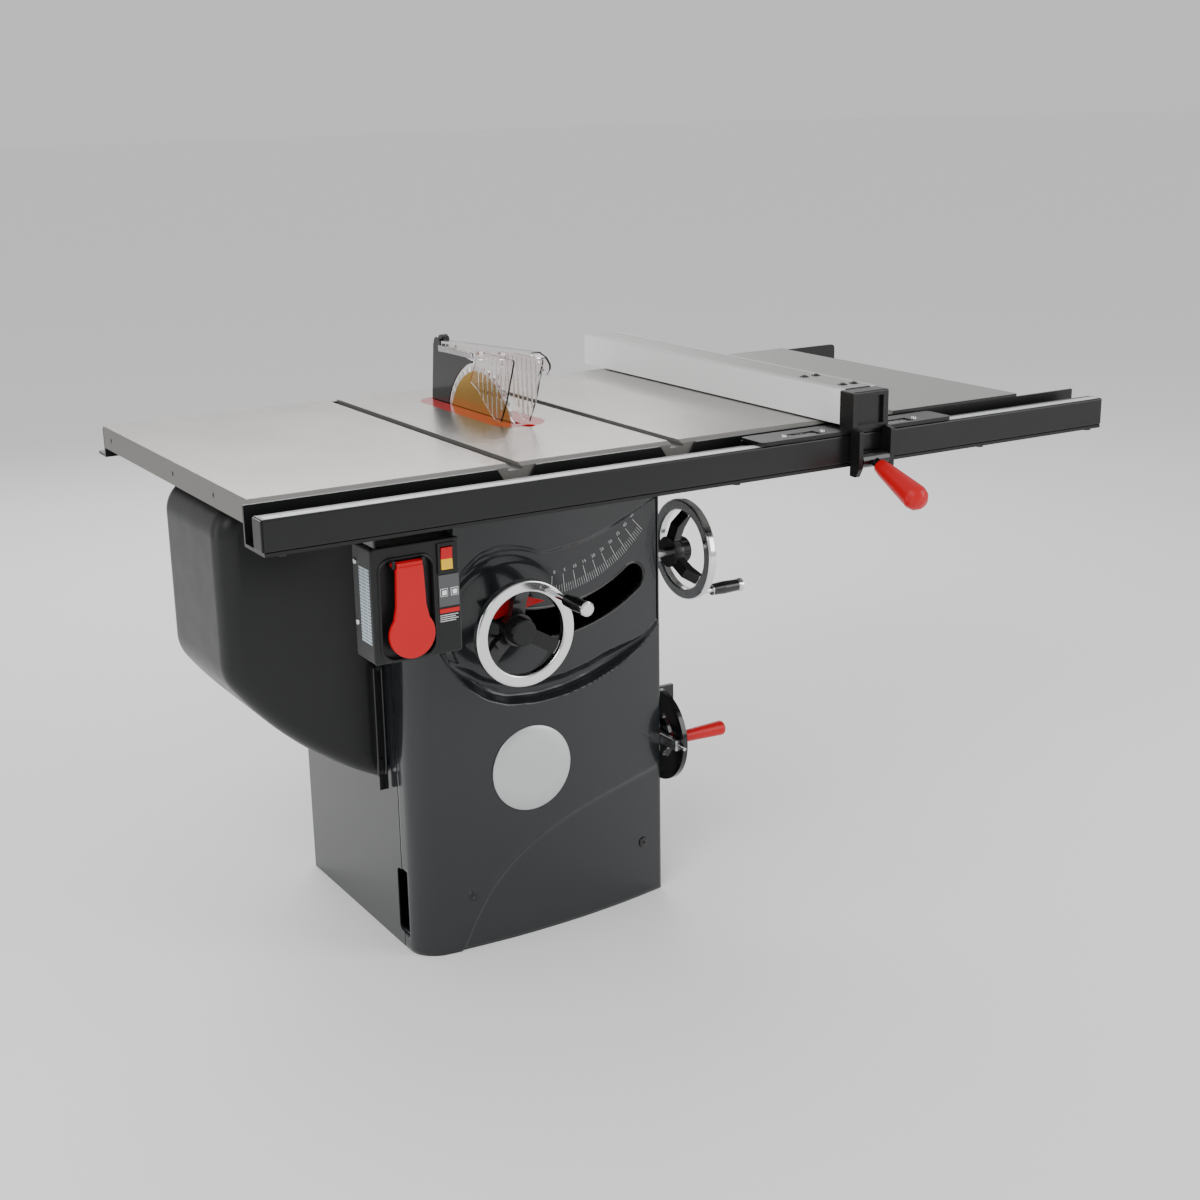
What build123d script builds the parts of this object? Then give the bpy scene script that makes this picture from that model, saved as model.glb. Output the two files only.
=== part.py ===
from build123d import *
import os
from math import atan, cos, degrees, hypot, pi, radians, sin, sqrt

os.makedirs("parts", exist_ok=True)

# Table saw, in millimetres. +X runs to the right along the fence rail, +Y to the back
# and +Z up. The origin is on the floor, under the middle of the cabinet.

# --- Table ------------------------------------------------------------------------
table_height = 864.0        # floor to the table's working surface
table_depth = 686.0         # front edge to back edge
table_front = -400.0
core_width = 533.0          # the cast middle table
core_left = -248.0
wing_width = 305.0          # each cast wing
extension_width = 281.0     # the laminate board to the right of the wings
extension_thickness = 30.0
band_thickness = 2.0        # edge band round the board
plate_thickness = 12.0      # cast working plate
rim_depth = 38.0            # cast rim under the plate, from the working surface
rim_wall = 12.0
rib_wall = 8.0
joint_gap = 0.2             # between neighbouring table castings

table_rear = table_front + table_depth
core_right = core_left + core_width
right_wing_right = core_right + wing_width
extension_right = right_wing_right + extension_width
left_wing_left = core_left - wing_width
plate_bottom = table_height - plate_thickness
rim_bottom = table_height - rim_depth

# Mitre slots: a plain groove with a wider tee at the bottom
slot_centres = (-134.9, 153.6)
slot_width = 19.0
slot_depth = 9.5
tee_width = 24.0
tee_height = 4.0
slot_boss_width = 44.0
slot_boss_depth = 26.0

# --- Blade, arbor and the tilt axis -------------------------------------------------
blade_x = 19.7              # the blade's middle plane
blade_y = 1.3
blade_radius = 127.0
blade_thickness = 2.4
blade_rise = 81.0           # blade above the table at rest, its highest
blade_hole = 7.9375
blade_teeth = 40
gullet_depth = 9.0
tilt_limit = 45.0
lift_travel = 82.0
arbor_z = table_height + blade_rise - blade_radius

arbor_radius = 7.9
arbor_left = blade_x - 160.0
flange_radius = 26.0
nut_across = 26.0
nut_length = 10.0
outer_flange = 6.0
bearing_radius = 20.0
bearing_width = 14.0
housing_radius = 27.0
housing_left = blade_x - 127.7
housing_right = blade_x - 16.7
running_gap = 0.05          # radial, for shafts in their bores
clear_gap = 0.5             # between pieces that pass each other

# --- Throat opening -----------------------------------------------------------------
throat_left = -17.0
throat_right = 77.0
throat_front = -151.0
throat_rear = 201.0
insert_thickness = 6.0
insert_gap = 0.5
ledge_width = 7.0
ledge_depth = 5.0
blade_slot_left = 3.6       # from the blade's plane
blade_slot_right = 9.8

# --- Cabinet ------------------------------------------------------------------------
cabinet_left = -247.0
cabinet_right = 245.0
cabinet_rear = 229.0
corner_y = -208.0           # where the front meets the right side
front_bow_y = -236.5        # the bowed front's foremost line
front_left_y = -224.0
seam_y = -163.0             # where the front panel meets the left side
hand_hole_z = 84.0
hand_hole_width = 36.0
hand_hole_height = 116.0
front_corner_radius = 46.0
sheet = 2.5
base_thickness = 4.0
base_upstand = 30.0
base_gap = 0.3
frame_thickness = 8.0       # flat steel ring that the table bolts to
frame_width = 22.0
frame_z = rim_bottom - frame_thickness
floor_bolt_x = 190.0
floor_bolt_y = 160.0
floor_bolt_radius = 5.5

# --- Tilting gear -------------------------------------------------------------------
tilt_module = 3.0
tilt_full_teeth = 153
tilt_pitch_radius = tilt_module * tilt_full_teeth / 2
worm_pitch_radius = 14.5
worm_drop = tilt_pitch_radius + worm_pitch_radius
worm_z = table_height - worm_drop
worm_y = -184.0
worm_core = 11.0
worm_length = 44.0
tilt_shaft_radius = 8.0
sector_teeth_behind = 22    # gaps kept on the far side of the worm at rest
sector_teeth_ahead = 3
sector_width = 16.0
sector_inner = 196.0

web_thickness = 12.0
front_web_y = -152.0        # front face of the front bracket's web
rear_web_y = 196.0
way_radius = 150.0          # the arc way, about the tilt axis
way_width = 20.0
way_gap = 0.1
way_reach = 60.0            # half the way's angle, from straight down
web_inner = 112.0
web_outer = 190.0
bracket_flange = 14.0
trunnion_plate = 12.0
worm_relief = 2.5           # depth of the groove that clears the tilt worm
plate_gap = 4.0             # between a bracket's web and the trunnion's plate
front_plate_y = front_web_y - plate_gap - trunnion_plate
rear_plate_y = rear_web_y + web_thickness + 2.0

# --- Elevation gear -----------------------------------------------------------------
lift_shaft_radius = 8.0
lift_slot_radius = 316.0    # the elevation shaft's distance from the tilt axis
lift_slot_angle = -16.3     # its angle from straight down, at rest
lift_slot_width = 50.0
lift_shaft_x = blade_x + lift_slot_radius * sin(radians(lift_slot_angle))
lift_shaft_z = table_height - lift_slot_radius * cos(radians(lift_slot_angle))
bevel_radius = 20.0
bevel_face = 10.0
bevel_teeth = 16
screw_y = -60.0
screw_radius = 8.0
post_radius = 12.0
post_front_y = -118.0
post_rear_y = 100.0
post_x = lift_shaft_x - 1.0
post_shift = 33.0           # the front post stands this far left, past the elevation shaft
posts = ((post_x - post_shift, post_front_y), (post_x, post_rear_y))
beam_top = lift_shaft_z - bevel_radius - 6.0
beam_thickness = 30.0
beam_left = post_x - 25.0
beam_right = post_x + 25.0
post_top = table_height - 29.0

# --- Motor --------------------------------------------------------------------------
motor_radius = 82.0
motor_length = 270.0
motor_right = -160.0
motor_y = 40.0
motor_z = arbor_z - 128.0
mount_thickness = 12.0
motor_shaft_radius = 9.5
arbor_pulley_radius = 27.0
motor_pulley_radius = 31.5
pulley_width = 24.0
pulley_left = -139.0
belt_thickness = 4.0
belt_gap = 0.3

# --- Motor cover --------------------------------------------------------------------
cover_left = -508.0
cover_front = -120.0
cover_rear = 150.0
cover_top = table_height - 68.0
cover_swing = 636.0         # the underside's radius about the tilt axis
cover_edge_radius = 34.0
cover_run_on = 60.0
cover_wall = 4.0
cover_gap = 1.0
hinge_x = cabinet_left - 15.0
hinge_y = cover_rear + 16.0
hinge_pin_radius = 4.0
hinge_knuckle_radius = 8.0

# --- Handwheels ---------------------------------------------------------------------
wheel_radius = 89.0
rim_width = 20.0            # radial
rim_thickness = 16.0        # along the shaft
hub_radius = 27.0
hub_depth = 44.0            # the wheel's dish, from the rim back to the hub's end
lift_wheel_y = -300.0       # front face of the front wheel's rim
tilt_wheel_x = 320.0        # outer face of the side wheel's rim
lock_knob_radius = 23.0
crank_length = 100.0        # from the rim's face to the grip's end

# --- Rails --------------------------------------------------------------------------
rail_left = -565.0
rail_right = 998.0
angle_thickness = 5.0
angle_top = table_height - 4.0
foot_bottom = table_height - 63.0
foot_front = -476.0
tube_front = -476.0
tube_depth = 34.0
tube_height = 47.0
tube_wall = 3.0
tube_bottom = foot_bottom + angle_thickness
tube_top = tube_bottom + tube_height
rear_rail_right = 1009.0
rear_rail_height = 50.0
rear_rail_foot = 40.0
rail_bolt_xs = (-533.0, -36.0, 226.0, 731.0, 983.0)

# --- Fence --------------------------------------------------------------------------
fence_left = 437.0
fence_width = 70.0
fence_front = -450.0
fence_overhang = 68.0       # past the table's back edge
fence_lift = 2.0            # above the table
fence_height = 57.5
face_thickness = 9.5
fence_wall = 3.0
tee_left = 262.0
tee_right = 650.0
tee_thickness = 6.0
fence_bottom = table_height + fence_lift
fence_top = fence_bottom + fence_height
fence_rear = table_rear + fence_overhang
fence_right = fence_left + fence_width
lever_y = tube_front - 14.0
lever_z = tube_bottom + 6.0

# --- Switch box ---------------------------------------------------------------------
box_left = -396.0
box_right = -254.0
box_front = -441.0
box_depth = 62.0
box_top = table_height - 84.0
box_height = 175.0
box_bottom = box_top - box_height
box_wall = 3.0

# --- Stored mitre gauge -------------------------------------------------------------
gauge_z = 282.0
gauge_y = -166.0            # the head's pivot
gauge_radius = 84.0
gauge_fence = 172.0         # length of the fence across the head
gauge_bar_x = 255.0
gauge_bar_thickness = 9.5
gauge_bar_width = 19.0
gauge_bar_rear = 190.0
gauge_bar_front = -240.0


def block(low, high, mode=Mode.ADD):
    """A box between two opposite corners, in the part being built."""
    size = [b - a for a, b in zip(low, high)]
    centre = [(a + b) / 2 for a, b in zip(low, high)]
    with Locations(tuple(centre)):
        Box(*size, mode=mode)


def bar(start, axis, radius, length, mode=Mode.ADD):
    """A round bar that starts at a point and runs along an axis."""
    with Locations(Plane(origin=start, z_dir=axis)):
        Cylinder(radius, length, align=(Align.CENTER, Align.CENTER, Align.MIN), mode=mode)


def slab(plane, points, thickness, mode=Mode.ADD, corner=0.0):
    """A flat plate: a closed outline of points on a plane, given a thickness."""
    with BuildSketch(plane) as outline:
        with BuildLine():
            Polyline(*points, close=True)
        make_face()
        if corner > 0:
            fillet(outline.vertices(), corner)
    extrude(outline.sketch, amount=thickness, mode=mode)


def side_plane(x):
    """The plane across X: its first axis is Y, its second is Z, and it faces +X."""
    return Plane(origin=(x, 0, 0), x_dir=(0, 1, 0), z_dir=(1, 0, 0))


def front_plane(y):
    """The plane across Y: its first axis is X, its second is Z, and it faces -Y."""
    return Plane(origin=(0, y, 0), x_dir=(1, 0, 0), z_dir=(0, -1, 0))


def about_tilt(radius, angle):
    """X and Z of a point at a radius from the tilt axis, at an angle from straight down."""
    swing = radians(angle)
    return (blade_x + radius * sin(swing), table_height - radius * cos(swing))


def arc_band(y_front, thickness, inner, outer, start, end, mode=Mode.ADD):
    """A band about the tilt axis, between two radii and two angles, given a thickness in Y."""
    with BuildSketch(front_plane(y_front + thickness)) as band:
        with BuildLine():
            far = CenterArc((blade_x, table_height), outer, start - 90, end - start)
            near = CenterArc((blade_x, table_height), inner, start - 90, end - start)
            Line(far @ 0, near @ 0)
            Line(far @ 1, near @ 1)
        make_face()
    extrude(band.sketch, amount=thickness, mode=mode)


def cabinet_plan(inset):
    """The cabinet seen from above, drawn in by an inset: one round corner and a bowed front."""
    with BuildSketch() as plan:
        with BuildLine():
            Polyline((cabinet_left, front_left_y), (cabinet_left, cabinet_rear),
                     (cabinet_right, cabinet_rear), (cabinet_right, corner_y))
            ThreePointArc((cabinet_right, corner_y), (27, front_bow_y), (cabinet_left, front_left_y))
        make_face()
        fillet(plan.vertices().group_by(Axis.X)[0].sort_by(Axis.Y)[0], front_corner_radius)
        if inset > 0:
            offset(amount=-inset, kind=Kind.INTERSECTION)
    return plan.sketch


# ===== Cabinet ======================================================================

panel_top = frame_z + frame_thickness


def hand_hole():
    """Rounded slot low down at the side seam, cut through both sheets."""
    with BuildSketch(side_plane(cabinet_left - 10)) as notch:
        with Locations((seam_y, hand_hole_z)):
            Rectangle(hand_hole_width, hand_hole_height)
        fillet(notch.vertices(), 10)
    return notch.sketch


with BuildPart() as front_panel:
    with BuildSketch(Plane.XY) as ring:
        add(cabinet_plan(0))
        add(cabinet_plan(sheet), mode=Mode.SUBTRACT)
        with Locations(((cabinet_left + cabinet_right) / 2, seam_y + 500)):
            Rectangle(2000, 1000, mode=Mode.SUBTRACT)
        with Locations((cabinet_right, corner_y + 50)):
            Rectangle(2 * sheet + 8, 100, mode=Mode.SUBTRACT)
    extrude(amount=panel_top)
    # the curved slot that the elevation shaft swings along, concentric with the tilt axis
    with BuildSketch(front_plane(front_bow_y + 60)) as slot:
        with BuildLine():
            swing = CenterArc((blade_x, table_height), lift_slot_radius,
                              lift_slot_angle - 93, tilt_limit + 6)
        SlotArc(swing.edge(), lift_slot_width)
    extrude(slot.sketch, amount=80, mode=Mode.SUBTRACT)
    extrude(hand_hole(), amount=20, mode=Mode.SUBTRACT)
front_panel.part.label = "front_panel"
export_step(front_panel.part, "parts/front_panel.step")

motor_swing = hypot(blade_x - (motor_right - motor_length),
                    table_height - (motor_z - motor_radius - lift_travel))
opening_front = motor_y - motor_radius - 34
opening_rear = motor_y + motor_radius + 14
opening_bottom = table_height - sqrt((motor_swing + 14) ** 2 - (blade_x - cabinet_left) ** 2)
opening_top = cover_top - 5
duct_radius = 50.8
duct_z = 130.0
gland_x = 190.0
gland_z = 120.0
latch_pivot_z = table_height - 369.0
latch_y = cover_front - 14.0
latch_x = cabinet_left - 12.0
latch_drop = 190.0
wire_radius = 2.2
with BuildPart() as cabinet_shell:
    block((cabinet_left, seam_y + 0.6, 0), (cabinet_right, cabinet_rear, panel_top))
    block((cabinet_left + sheet, seam_y - 1, -1), (cabinet_right - sheet, cabinet_rear - sheet, panel_top + 1),
          mode=Mode.SUBTRACT)
    block((cabinet_right - sheet, corner_y + sheet + 1, 0), (cabinet_right, seam_y + 1, panel_top))
    block((cabinet_left - 1, opening_front, opening_bottom), (cabinet_left + sheet + 1, opening_rear, opening_top),
          mode=Mode.SUBTRACT)
    bar((cabinet_right - 10, worm_y, worm_z), (1, 0, 0), tilt_shaft_radius + 4, 20, mode=Mode.SUBTRACT)
    extrude(hand_hole(), amount=20, mode=Mode.SUBTRACT)
    bar((20, cabinet_rear - 10, duct_z), (0, 1, 0), duct_radius - 2, 20, mode=Mode.SUBTRACT)
    # lug for the cover's wire latch, and the gland where the mains cable leaves
    block((latch_x - 3, latch_y - 5, latch_pivot_z + 3), (cabinet_left, latch_y + 5, latch_pivot_z + 12))
    block((latch_x - 3, latch_y - 5, latch_pivot_z - 5), (latch_x + 3, latch_y + 5, latch_pivot_z + 12))
    bar((latch_x - 4, latch_y, latch_pivot_z), (1, 0, 0), wire_radius + running_gap, 8, mode=Mode.SUBTRACT)
    bar((gland_x, cabinet_rear, gland_z), (0, 1, 0), 12, 16)
    bar((gland_x, cabinet_rear - sheet - 1, gland_z), (0, 1, 0), 5, sheet + 18, mode=Mode.SUBTRACT)
cabinet_shell.part.label = "cabinet_shell"
export_step(cabinet_shell.part, "parts/cabinet_shell.step")

with BuildPart() as base_pan:
    with BuildSketch(Plane.XY):
        add(cabinet_plan(sheet + base_gap))
    extrude(amount=base_upstand)
    with BuildSketch(Plane.XY.offset(base_thickness)):
        add(cabinet_plan(sheet + base_gap + base_thickness))
    extrude(amount=base_upstand, mode=Mode.SUBTRACT)
    with Locations((0, 0, 0)):
        with GridLocations(2 * floor_bolt_x, 2 * floor_bolt_y, 2, 2):
            Cylinder(floor_bolt_radius, 3 * base_thickness, mode=Mode.SUBTRACT)
base_pan.part.label = "base_pan"
export_step(base_pan.part, "parts/base_pan.step")

with BuildPart() as top_frame:
    with BuildSketch(Plane.XY.offset(frame_z)):
        add(cabinet_plan(sheet + base_gap))
        with Locations(((cabinet_left + cabinet_right) / 2, (front_web_y - 28 + rear_web_y + 10) / 2)):
            Rectangle(cabinet_right - cabinet_left - 2 * (sheet + frame_width),
                      rear_web_y - front_web_y + 38, mode=Mode.SUBTRACT)
    extrude(amount=frame_thickness)
top_frame.part.label = "top_frame"
export_step(top_frame.part, "parts/top_frame.step")

with BuildPart() as dust_port:
    bar((20, cabinet_rear, duct_z), (0, 1, 0), duct_radius + 16, 3)
    bar((20, cabinet_rear + 3, duct_z), (0, 1, 0), duct_radius, 47)
    bar((20, cabinet_rear - 1, duct_z), (0, 1, 0), duct_radius - 2.5, 52, mode=Mode.SUBTRACT)
dust_port.part.label = "dust_port"
export_step(dust_port.part, "parts/dust_port.step")

hinge_heights = (cover_top - 90, cover_top - 330)
with BuildPart() as cover_hinges:
    for z in hinge_heights:
        block((cabinet_left - 4, hinge_y - 6, z - 30), (cabinet_left, hinge_y + 34, z + 30))
        block((hinge_x, hinge_y - 5, z - 29), (cabinet_left, hinge_y + 5, z - 1))
        bar((hinge_x, hinge_y, z - 30), (0, 0, 1), hinge_knuckle_radius, 30)
        bar((hinge_x, hinge_y, z - 1), (0, 0, 1), hinge_pin_radius, 33)
cover_hinges.part.label = "cover_hinges"
export_step(cover_hinges.part, "parts/cover_hinges.step")

# The motor cover: a deep moulded shell, open towards the cabinet
cover_mouth = cabinet_left - cover_gap


def cover_blank(inset):
    """The cover's outer form, drawn in by an inset and run on past its mouth: its underside is an
    arc about the tilt axis, clear of the motor's swing."""
    radius = cover_swing - inset
    left = cover_left + inset
    right = cover_mouth + cover_run_on
    arc_points = []
    for x in (left, (left + right) / 2, right):
        arc_points.append((x, table_height - sqrt(radius ** 2 - (blade_x - x) ** 2)))
    with BuildPart() as blank:
        with BuildSketch(front_plane(cover_rear - inset)) as side:
            with BuildLine():
                ThreePointArc(*arc_points)
                Polyline(arc_points[2], (right, cover_top - inset), (left, cover_top - inset), arc_points[0])
            make_face()
            fillet(side.vertices().group_by(Axis.X)[0].sort_by(Axis.Y)[0], 70 - inset)
            fillet(side.vertices().group_by(Axis.X)[0].sort_by(Axis.Y)[-1], 56 - inset)
        extrude(side.sketch, amount=cover_rear - cover_front - 2 * inset)
        ends = blank.faces().filter_by(Axis.Y)
        fillet([edge for face in ends for edge in face.edges() if edge.center().X < right - 1],
               cover_edge_radius - inset)
    return blank.part


with BuildPart() as motor_cover:
    add(cover_blank(0))
    add(cover_blank(cover_wall), mode=Mode.SUBTRACT)
    block((cover_mouth, cover_front - 1, 0), (cover_mouth + 61, cover_rear + 1, cover_top + 1),
          mode=Mode.SUBTRACT)
    for z in hinge_heights:
        block((hinge_x - 6, cover_rear - cover_wall, z), (hinge_x + 6, hinge_y, z + 30))
        bar((hinge_x, hinge_y, z), (0, 0, 1), hinge_knuckle_radius, 30)
    for z in hinge_heights:
        bar((hinge_x, hinge_y, z - 1), (0, 0, 1), hinge_pin_radius + running_gap, 32, mode=Mode.SUBTRACT)
    block((latch_x - 4, cover_front - 8, latch_pivot_z - latch_drop + 6),
          (latch_x + 4, cover_front + 2, latch_pivot_z - latch_drop + 26))
motor_cover.part.label = "motor_cover"
export_step(motor_cover.part, "parts/motor_cover.step")

with BuildPart() as cover_latch:
    bar((latch_x - 9, latch_y, latch_pivot_z), (1, 0, 0), wire_radius, 18)
    for side in (-1, 1):
        bar((latch_x + 7 * side, latch_y, latch_pivot_z), (0, 0, -1), wire_radius, latch_drop)
    bar((latch_x - 7, latch_y, latch_pivot_z - latch_drop), (1, 0, 0), wire_radius, 14)
    block((latch_x - 8, latch_y - 3, latch_pivot_z - latch_drop - 24),
          (latch_x + 8, latch_y + 3, latch_pivot_z - latch_drop + 1))
cover_latch.part.label = "cover_latch"
export_step(cover_latch.part, "parts/cover_latch.step")

# ===== Table and rails ==============================================================


def casting_shell(left, right):
    """A cast table section: a plate with a rim all round its underside."""
    block((left, table_front, rim_bottom), (right, table_rear, table_height))
    block((left + rim_wall, table_front + rim_wall, rim_bottom - 1),
          (right - rim_wall, table_rear - rim_wall, plate_bottom), mode=Mode.SUBTRACT)


def front_chamfer(left, right):
    """The shallow bevel along the casting's front edge."""
    points = ((table_front - 1, table_height + 1), (table_front + 12, table_height + 1),
              (table_front + 12, table_height), (table_front, table_height - 4),
              (table_front - 1, table_height - 4))
    slab(side_plane(left - 1), points, right - left + 2, mode=Mode.SUBTRACT)


def stadium(z, growth):
    """The throat's outline at a height: straight sides and round ends."""
    with BuildSketch(Plane.XY.offset(z)) as outline:
        with Locations(((throat_left + throat_right) / 2, (throat_front + throat_rear) / 2)):
            SlotOverall(throat_rear - throat_front + 2 * growth,
                        throat_right - throat_left + 2 * growth, rotation=90)
    return outline.sketch


notch_centre = ((throat_left + throat_right) / 2, throat_front + 5)
with BuildPart() as main_table:
    casting_shell(core_left, core_right)
    for x in slot_centres:
        slab(front_plane(table_rear),
             ((x - slot_boss_width / 2, plate_bottom + 1), (x - slot_boss_width / 2, plate_bottom - 4),
              (x - slot_width / 2, table_height - slot_boss_depth),
              (x + slot_width / 2, table_height - slot_boss_depth),
              (x + slot_boss_width / 2, plate_bottom - 4), (x + slot_boss_width / 2, plate_bottom + 1)),
             table_depth)
    # ribs that stand on the cabinet's top frame
    seat_front = corner_y + 2
    for y in (seat_front, cabinet_rear - 14):
        block((core_left, y, rim_bottom), (core_right, y + 14, plate_bottom + 1))
    block((cabinet_right - 14, seat_front, rim_bottom), (cabinet_right, cabinet_rear, plate_bottom + 1))
    block((cabinet_left, seat_front, rim_bottom), (cabinet_left + 14, cabinet_rear, plate_bottom + 1))
    for x in (core_left + 60, throat_left - 40, throat_right + 20):
        block((x, table_front, rim_bottom + 8), (x + rib_wall, seat_front, plate_bottom + 1))
    front_chamfer(core_left, core_right)
    # relief under the plate for the arbor's pulley and belt
    block((pulley_left - 7, blade_y - 44, rim_bottom - 1), (pulley_left + pulley_width + 7, blade_y + 48,
          arbor_z + arbor_pulley_radius + belt_gap + belt_thickness + 1.2), mode=Mode.SUBTRACT)
    for x in slot_centres:
        block((x - slot_width / 2, table_front - 1, table_height - slot_depth),
              (x + slot_width / 2, table_rear + 1, table_height + 1), mode=Mode.SUBTRACT)
        block((x - tee_width / 2, table_front - 1, table_height - slot_depth),
              (x + tee_width / 2, table_rear + 1, table_height - slot_depth + tee_height), mode=Mode.SUBTRACT)
    extrude(stadium(table_height - insert_thickness, 0), amount=insert_thickness + 1, mode=Mode.SUBTRACT)
    extrude(stadium(rim_bottom - 1, -ledge_width), amount=rim_depth + 2, mode=Mode.SUBTRACT)
    bar((notch_centre[0], notch_centre[1], plate_bottom - 1), (0, 0, 1), 11, plate_thickness + 2,
        mode=Mode.SUBTRACT)
main_table.part.label = "main_table"
export_step(main_table.part, "parts/main_table.step")

with BuildPart() as throat_insert:
    extrude(stadium(table_height - insert_thickness, -insert_gap), amount=insert_thickness)
    block((blade_x - blade_slot_left, blade_y - blade_radius + 4, table_height - insert_thickness - 1),
          (blade_x + blade_slot_right, throat_rear - 9, table_height + 1), mode=Mode.SUBTRACT)
    bar((notch_centre[0], notch_centre[1], table_height - insert_thickness - 1), (0, 0, 1), 11,
        insert_thickness + 2, mode=Mode.SUBTRACT)
throat_insert.part.label = "throat_insert"
export_step(throat_insert.part, "parts/throat_insert.step")

edge_hole_ys = (table_front + 150, table_front + 330, table_rear - 40)
with BuildPart() as left_wing:
    casting_shell(left_wing_left, core_left - joint_gap)
    for y in (table_front + table_depth / 3, table_front + 2 * table_depth / 3):
        block((left_wing_left, y, rim_bottom + 6), (core_left - joint_gap, y + rib_wall, plate_bottom + 1))
    front_chamfer(left_wing_left, core_left)
    for y in edge_hole_ys:
        bar((left_wing_left - 1, y, table_height - 20), (1, 0, 0), 4, rim_wall + 2, mode=Mode.SUBTRACT)
left_wing.part.label = "left_wing"
export_step(left_wing.part, "parts/left_wing.step")

with BuildPart() as right_wing:
    casting_shell(core_right + joint_gap, right_wing_right)
    for y in (table_front + table_depth / 3, table_front + 2 * table_depth / 3):
        block((core_right + joint_gap, y, rim_bottom + 6), (right_wing_right, y + rib_wall, plate_bottom + 1))
    front_chamfer(core_right, right_wing_right)
right_wing.part.label = "right_wing"
export_step(right_wing.part, "parts/right_wing.step")

with BuildPart() as extension_table:
    block((right_wing_right + joint_gap, table_front, table_height - extension_thickness),
          (extension_right, table_rear, table_height))
    fillet(extension_table.edges().filter_by(Axis.Z).group_by(Axis.X)[-1], 3)
extension_table.part.label = "extension_table"
export_step(extension_table.part, "parts/extension_table.step")

rail_bolt_radius = 4.0
rail_bolt_y = tube_front + tube_depth / 2
leg_bolt_xs = (left_wing_left + 60, core_left - 60, core_left + 30, core_right - 30, right_wing_right - 60)
leg_bolt_z = table_height - 30
with BuildPart() as rail_angle:
    block((rail_left, table_front - angle_thickness, foot_bottom), (rail_right, table_front, angle_top))
    block((rail_left, foot_front, foot_bottom), (rail_right, table_front, foot_bottom + angle_thickness))
    for x in slot_centres:
        slab(front_plane(table_front + 1),
             ((x - 34, angle_top + 1), (x - 22, table_height - slot_boss_depth + 4),
              (x + 22, table_height - slot_boss_depth + 4), (x + 34, angle_top + 1)),
             angle_thickness + 2, mode=Mode.SUBTRACT)
    for x in rail_bolt_xs:
        bar((x, rail_bolt_y, foot_bottom - 1), (0, 0, 1), rail_bolt_radius + running_gap,
            angle_thickness + 2, mode=Mode.SUBTRACT)
    for x in leg_bolt_xs:
        bar((x, table_front - angle_thickness - 1, leg_bolt_z), (0, 1, 0), rail_bolt_radius + running_gap,
            angle_thickness + 2, mode=Mode.SUBTRACT)
rail_angle.part.label = "rail_angle"
export_step(rail_angle.part, "parts/rail_angle.step")

with BuildPart() as rail_tube:
    block((rail_left, tube_front, tube_bottom), (rail_right, tube_front + tube_depth, tube_top))
    fillet(rail_tube.edges().filter_by(Axis.X), 3)
    block((rail_left + 6, tube_front + tube_wall, tube_bottom + tube_wall),
          (rail_right - 6, tube_front + tube_depth - tube_wall, tube_top - tube_wall), mode=Mode.SUBTRACT)
rail_tube.part.label = "rail_tube"
export_step(rail_tube.part, "parts/rail_tube.step")

with BuildPart() as rail_bolts:
    for x in rail_bolt_xs:
        with BuildSketch(Plane.XY.offset(foot_bottom - 5)) as head:
            with Locations((x, rail_bolt_y)):
                RegularPolygon(7, 6)
        extrude(head.sketch, amount=5)
        bar((x, rail_bolt_y, foot_bottom), (0, 0, 1), rail_bolt_radius, angle_thickness)
    for x in leg_bolt_xs:
        bar((x, table_front - angle_thickness, leg_bolt_z), (0, -1, 0), 6.5, 5)
        bar((x, table_front - angle_thickness, leg_bolt_z), (0, 1, 0), rail_bolt_radius, angle_thickness)
rail_bolts.part.label = "rail_bolts"
export_step(rail_bolts.part, "parts/rail_bolts.step")

rear_rail_bottom = angle_top - rear_rail_height
with BuildPart() as rear_rail:
    block((left_wing_left, table_rear, rear_rail_bottom), (rear_rail_right, table_rear + angle_thickness, angle_top))
    block((left_wing_left, table_rear, rear_rail_bottom),
          (rear_rail_right, table_rear + rear_rail_foot, rear_rail_bottom + angle_thickness))
    fillet(rear_rail.edges().filter_by(Axis.Y).group_by(Axis.X)[-1].sort_by(Axis.Z)[-1], 8)
rear_rail.part.label = "rear_rail"
export_step(rear_rail.part, "parts/rear_rail.step")

# ===== Trunnions ====================================================================

with BuildPart() as front_bracket:
    arc_band(front_web_y, web_thickness, web_inner, web_outer, -68, 68)
    block((blade_x - web_outer, front_web_y, frame_z - bracket_flange),
          (blade_x + web_outer, front_web_y + web_thickness, frame_z))
    block((blade_x - web_outer, corner_y + 8, frame_z - bracket_flange),
          (blade_x + web_outer, front_web_y + web_thickness, frame_z))
    arc_band(front_web_y - 1, web_thickness + 2, way_radius - way_width / 2 - way_gap,
             way_radius + way_width / 2 + way_gap, -way_reach, way_reach, mode=Mode.SUBTRACT)
    block((blade_x - web_outer - 40, front_web_y - 80, frame_z),
          (blade_x + web_outer + 40, front_web_y + 80, frame_z + 100), mode=Mode.SUBTRACT)
front_bracket.part.label = "front_bracket"
export_step(front_bracket.part, "parts/front_bracket.step")

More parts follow.
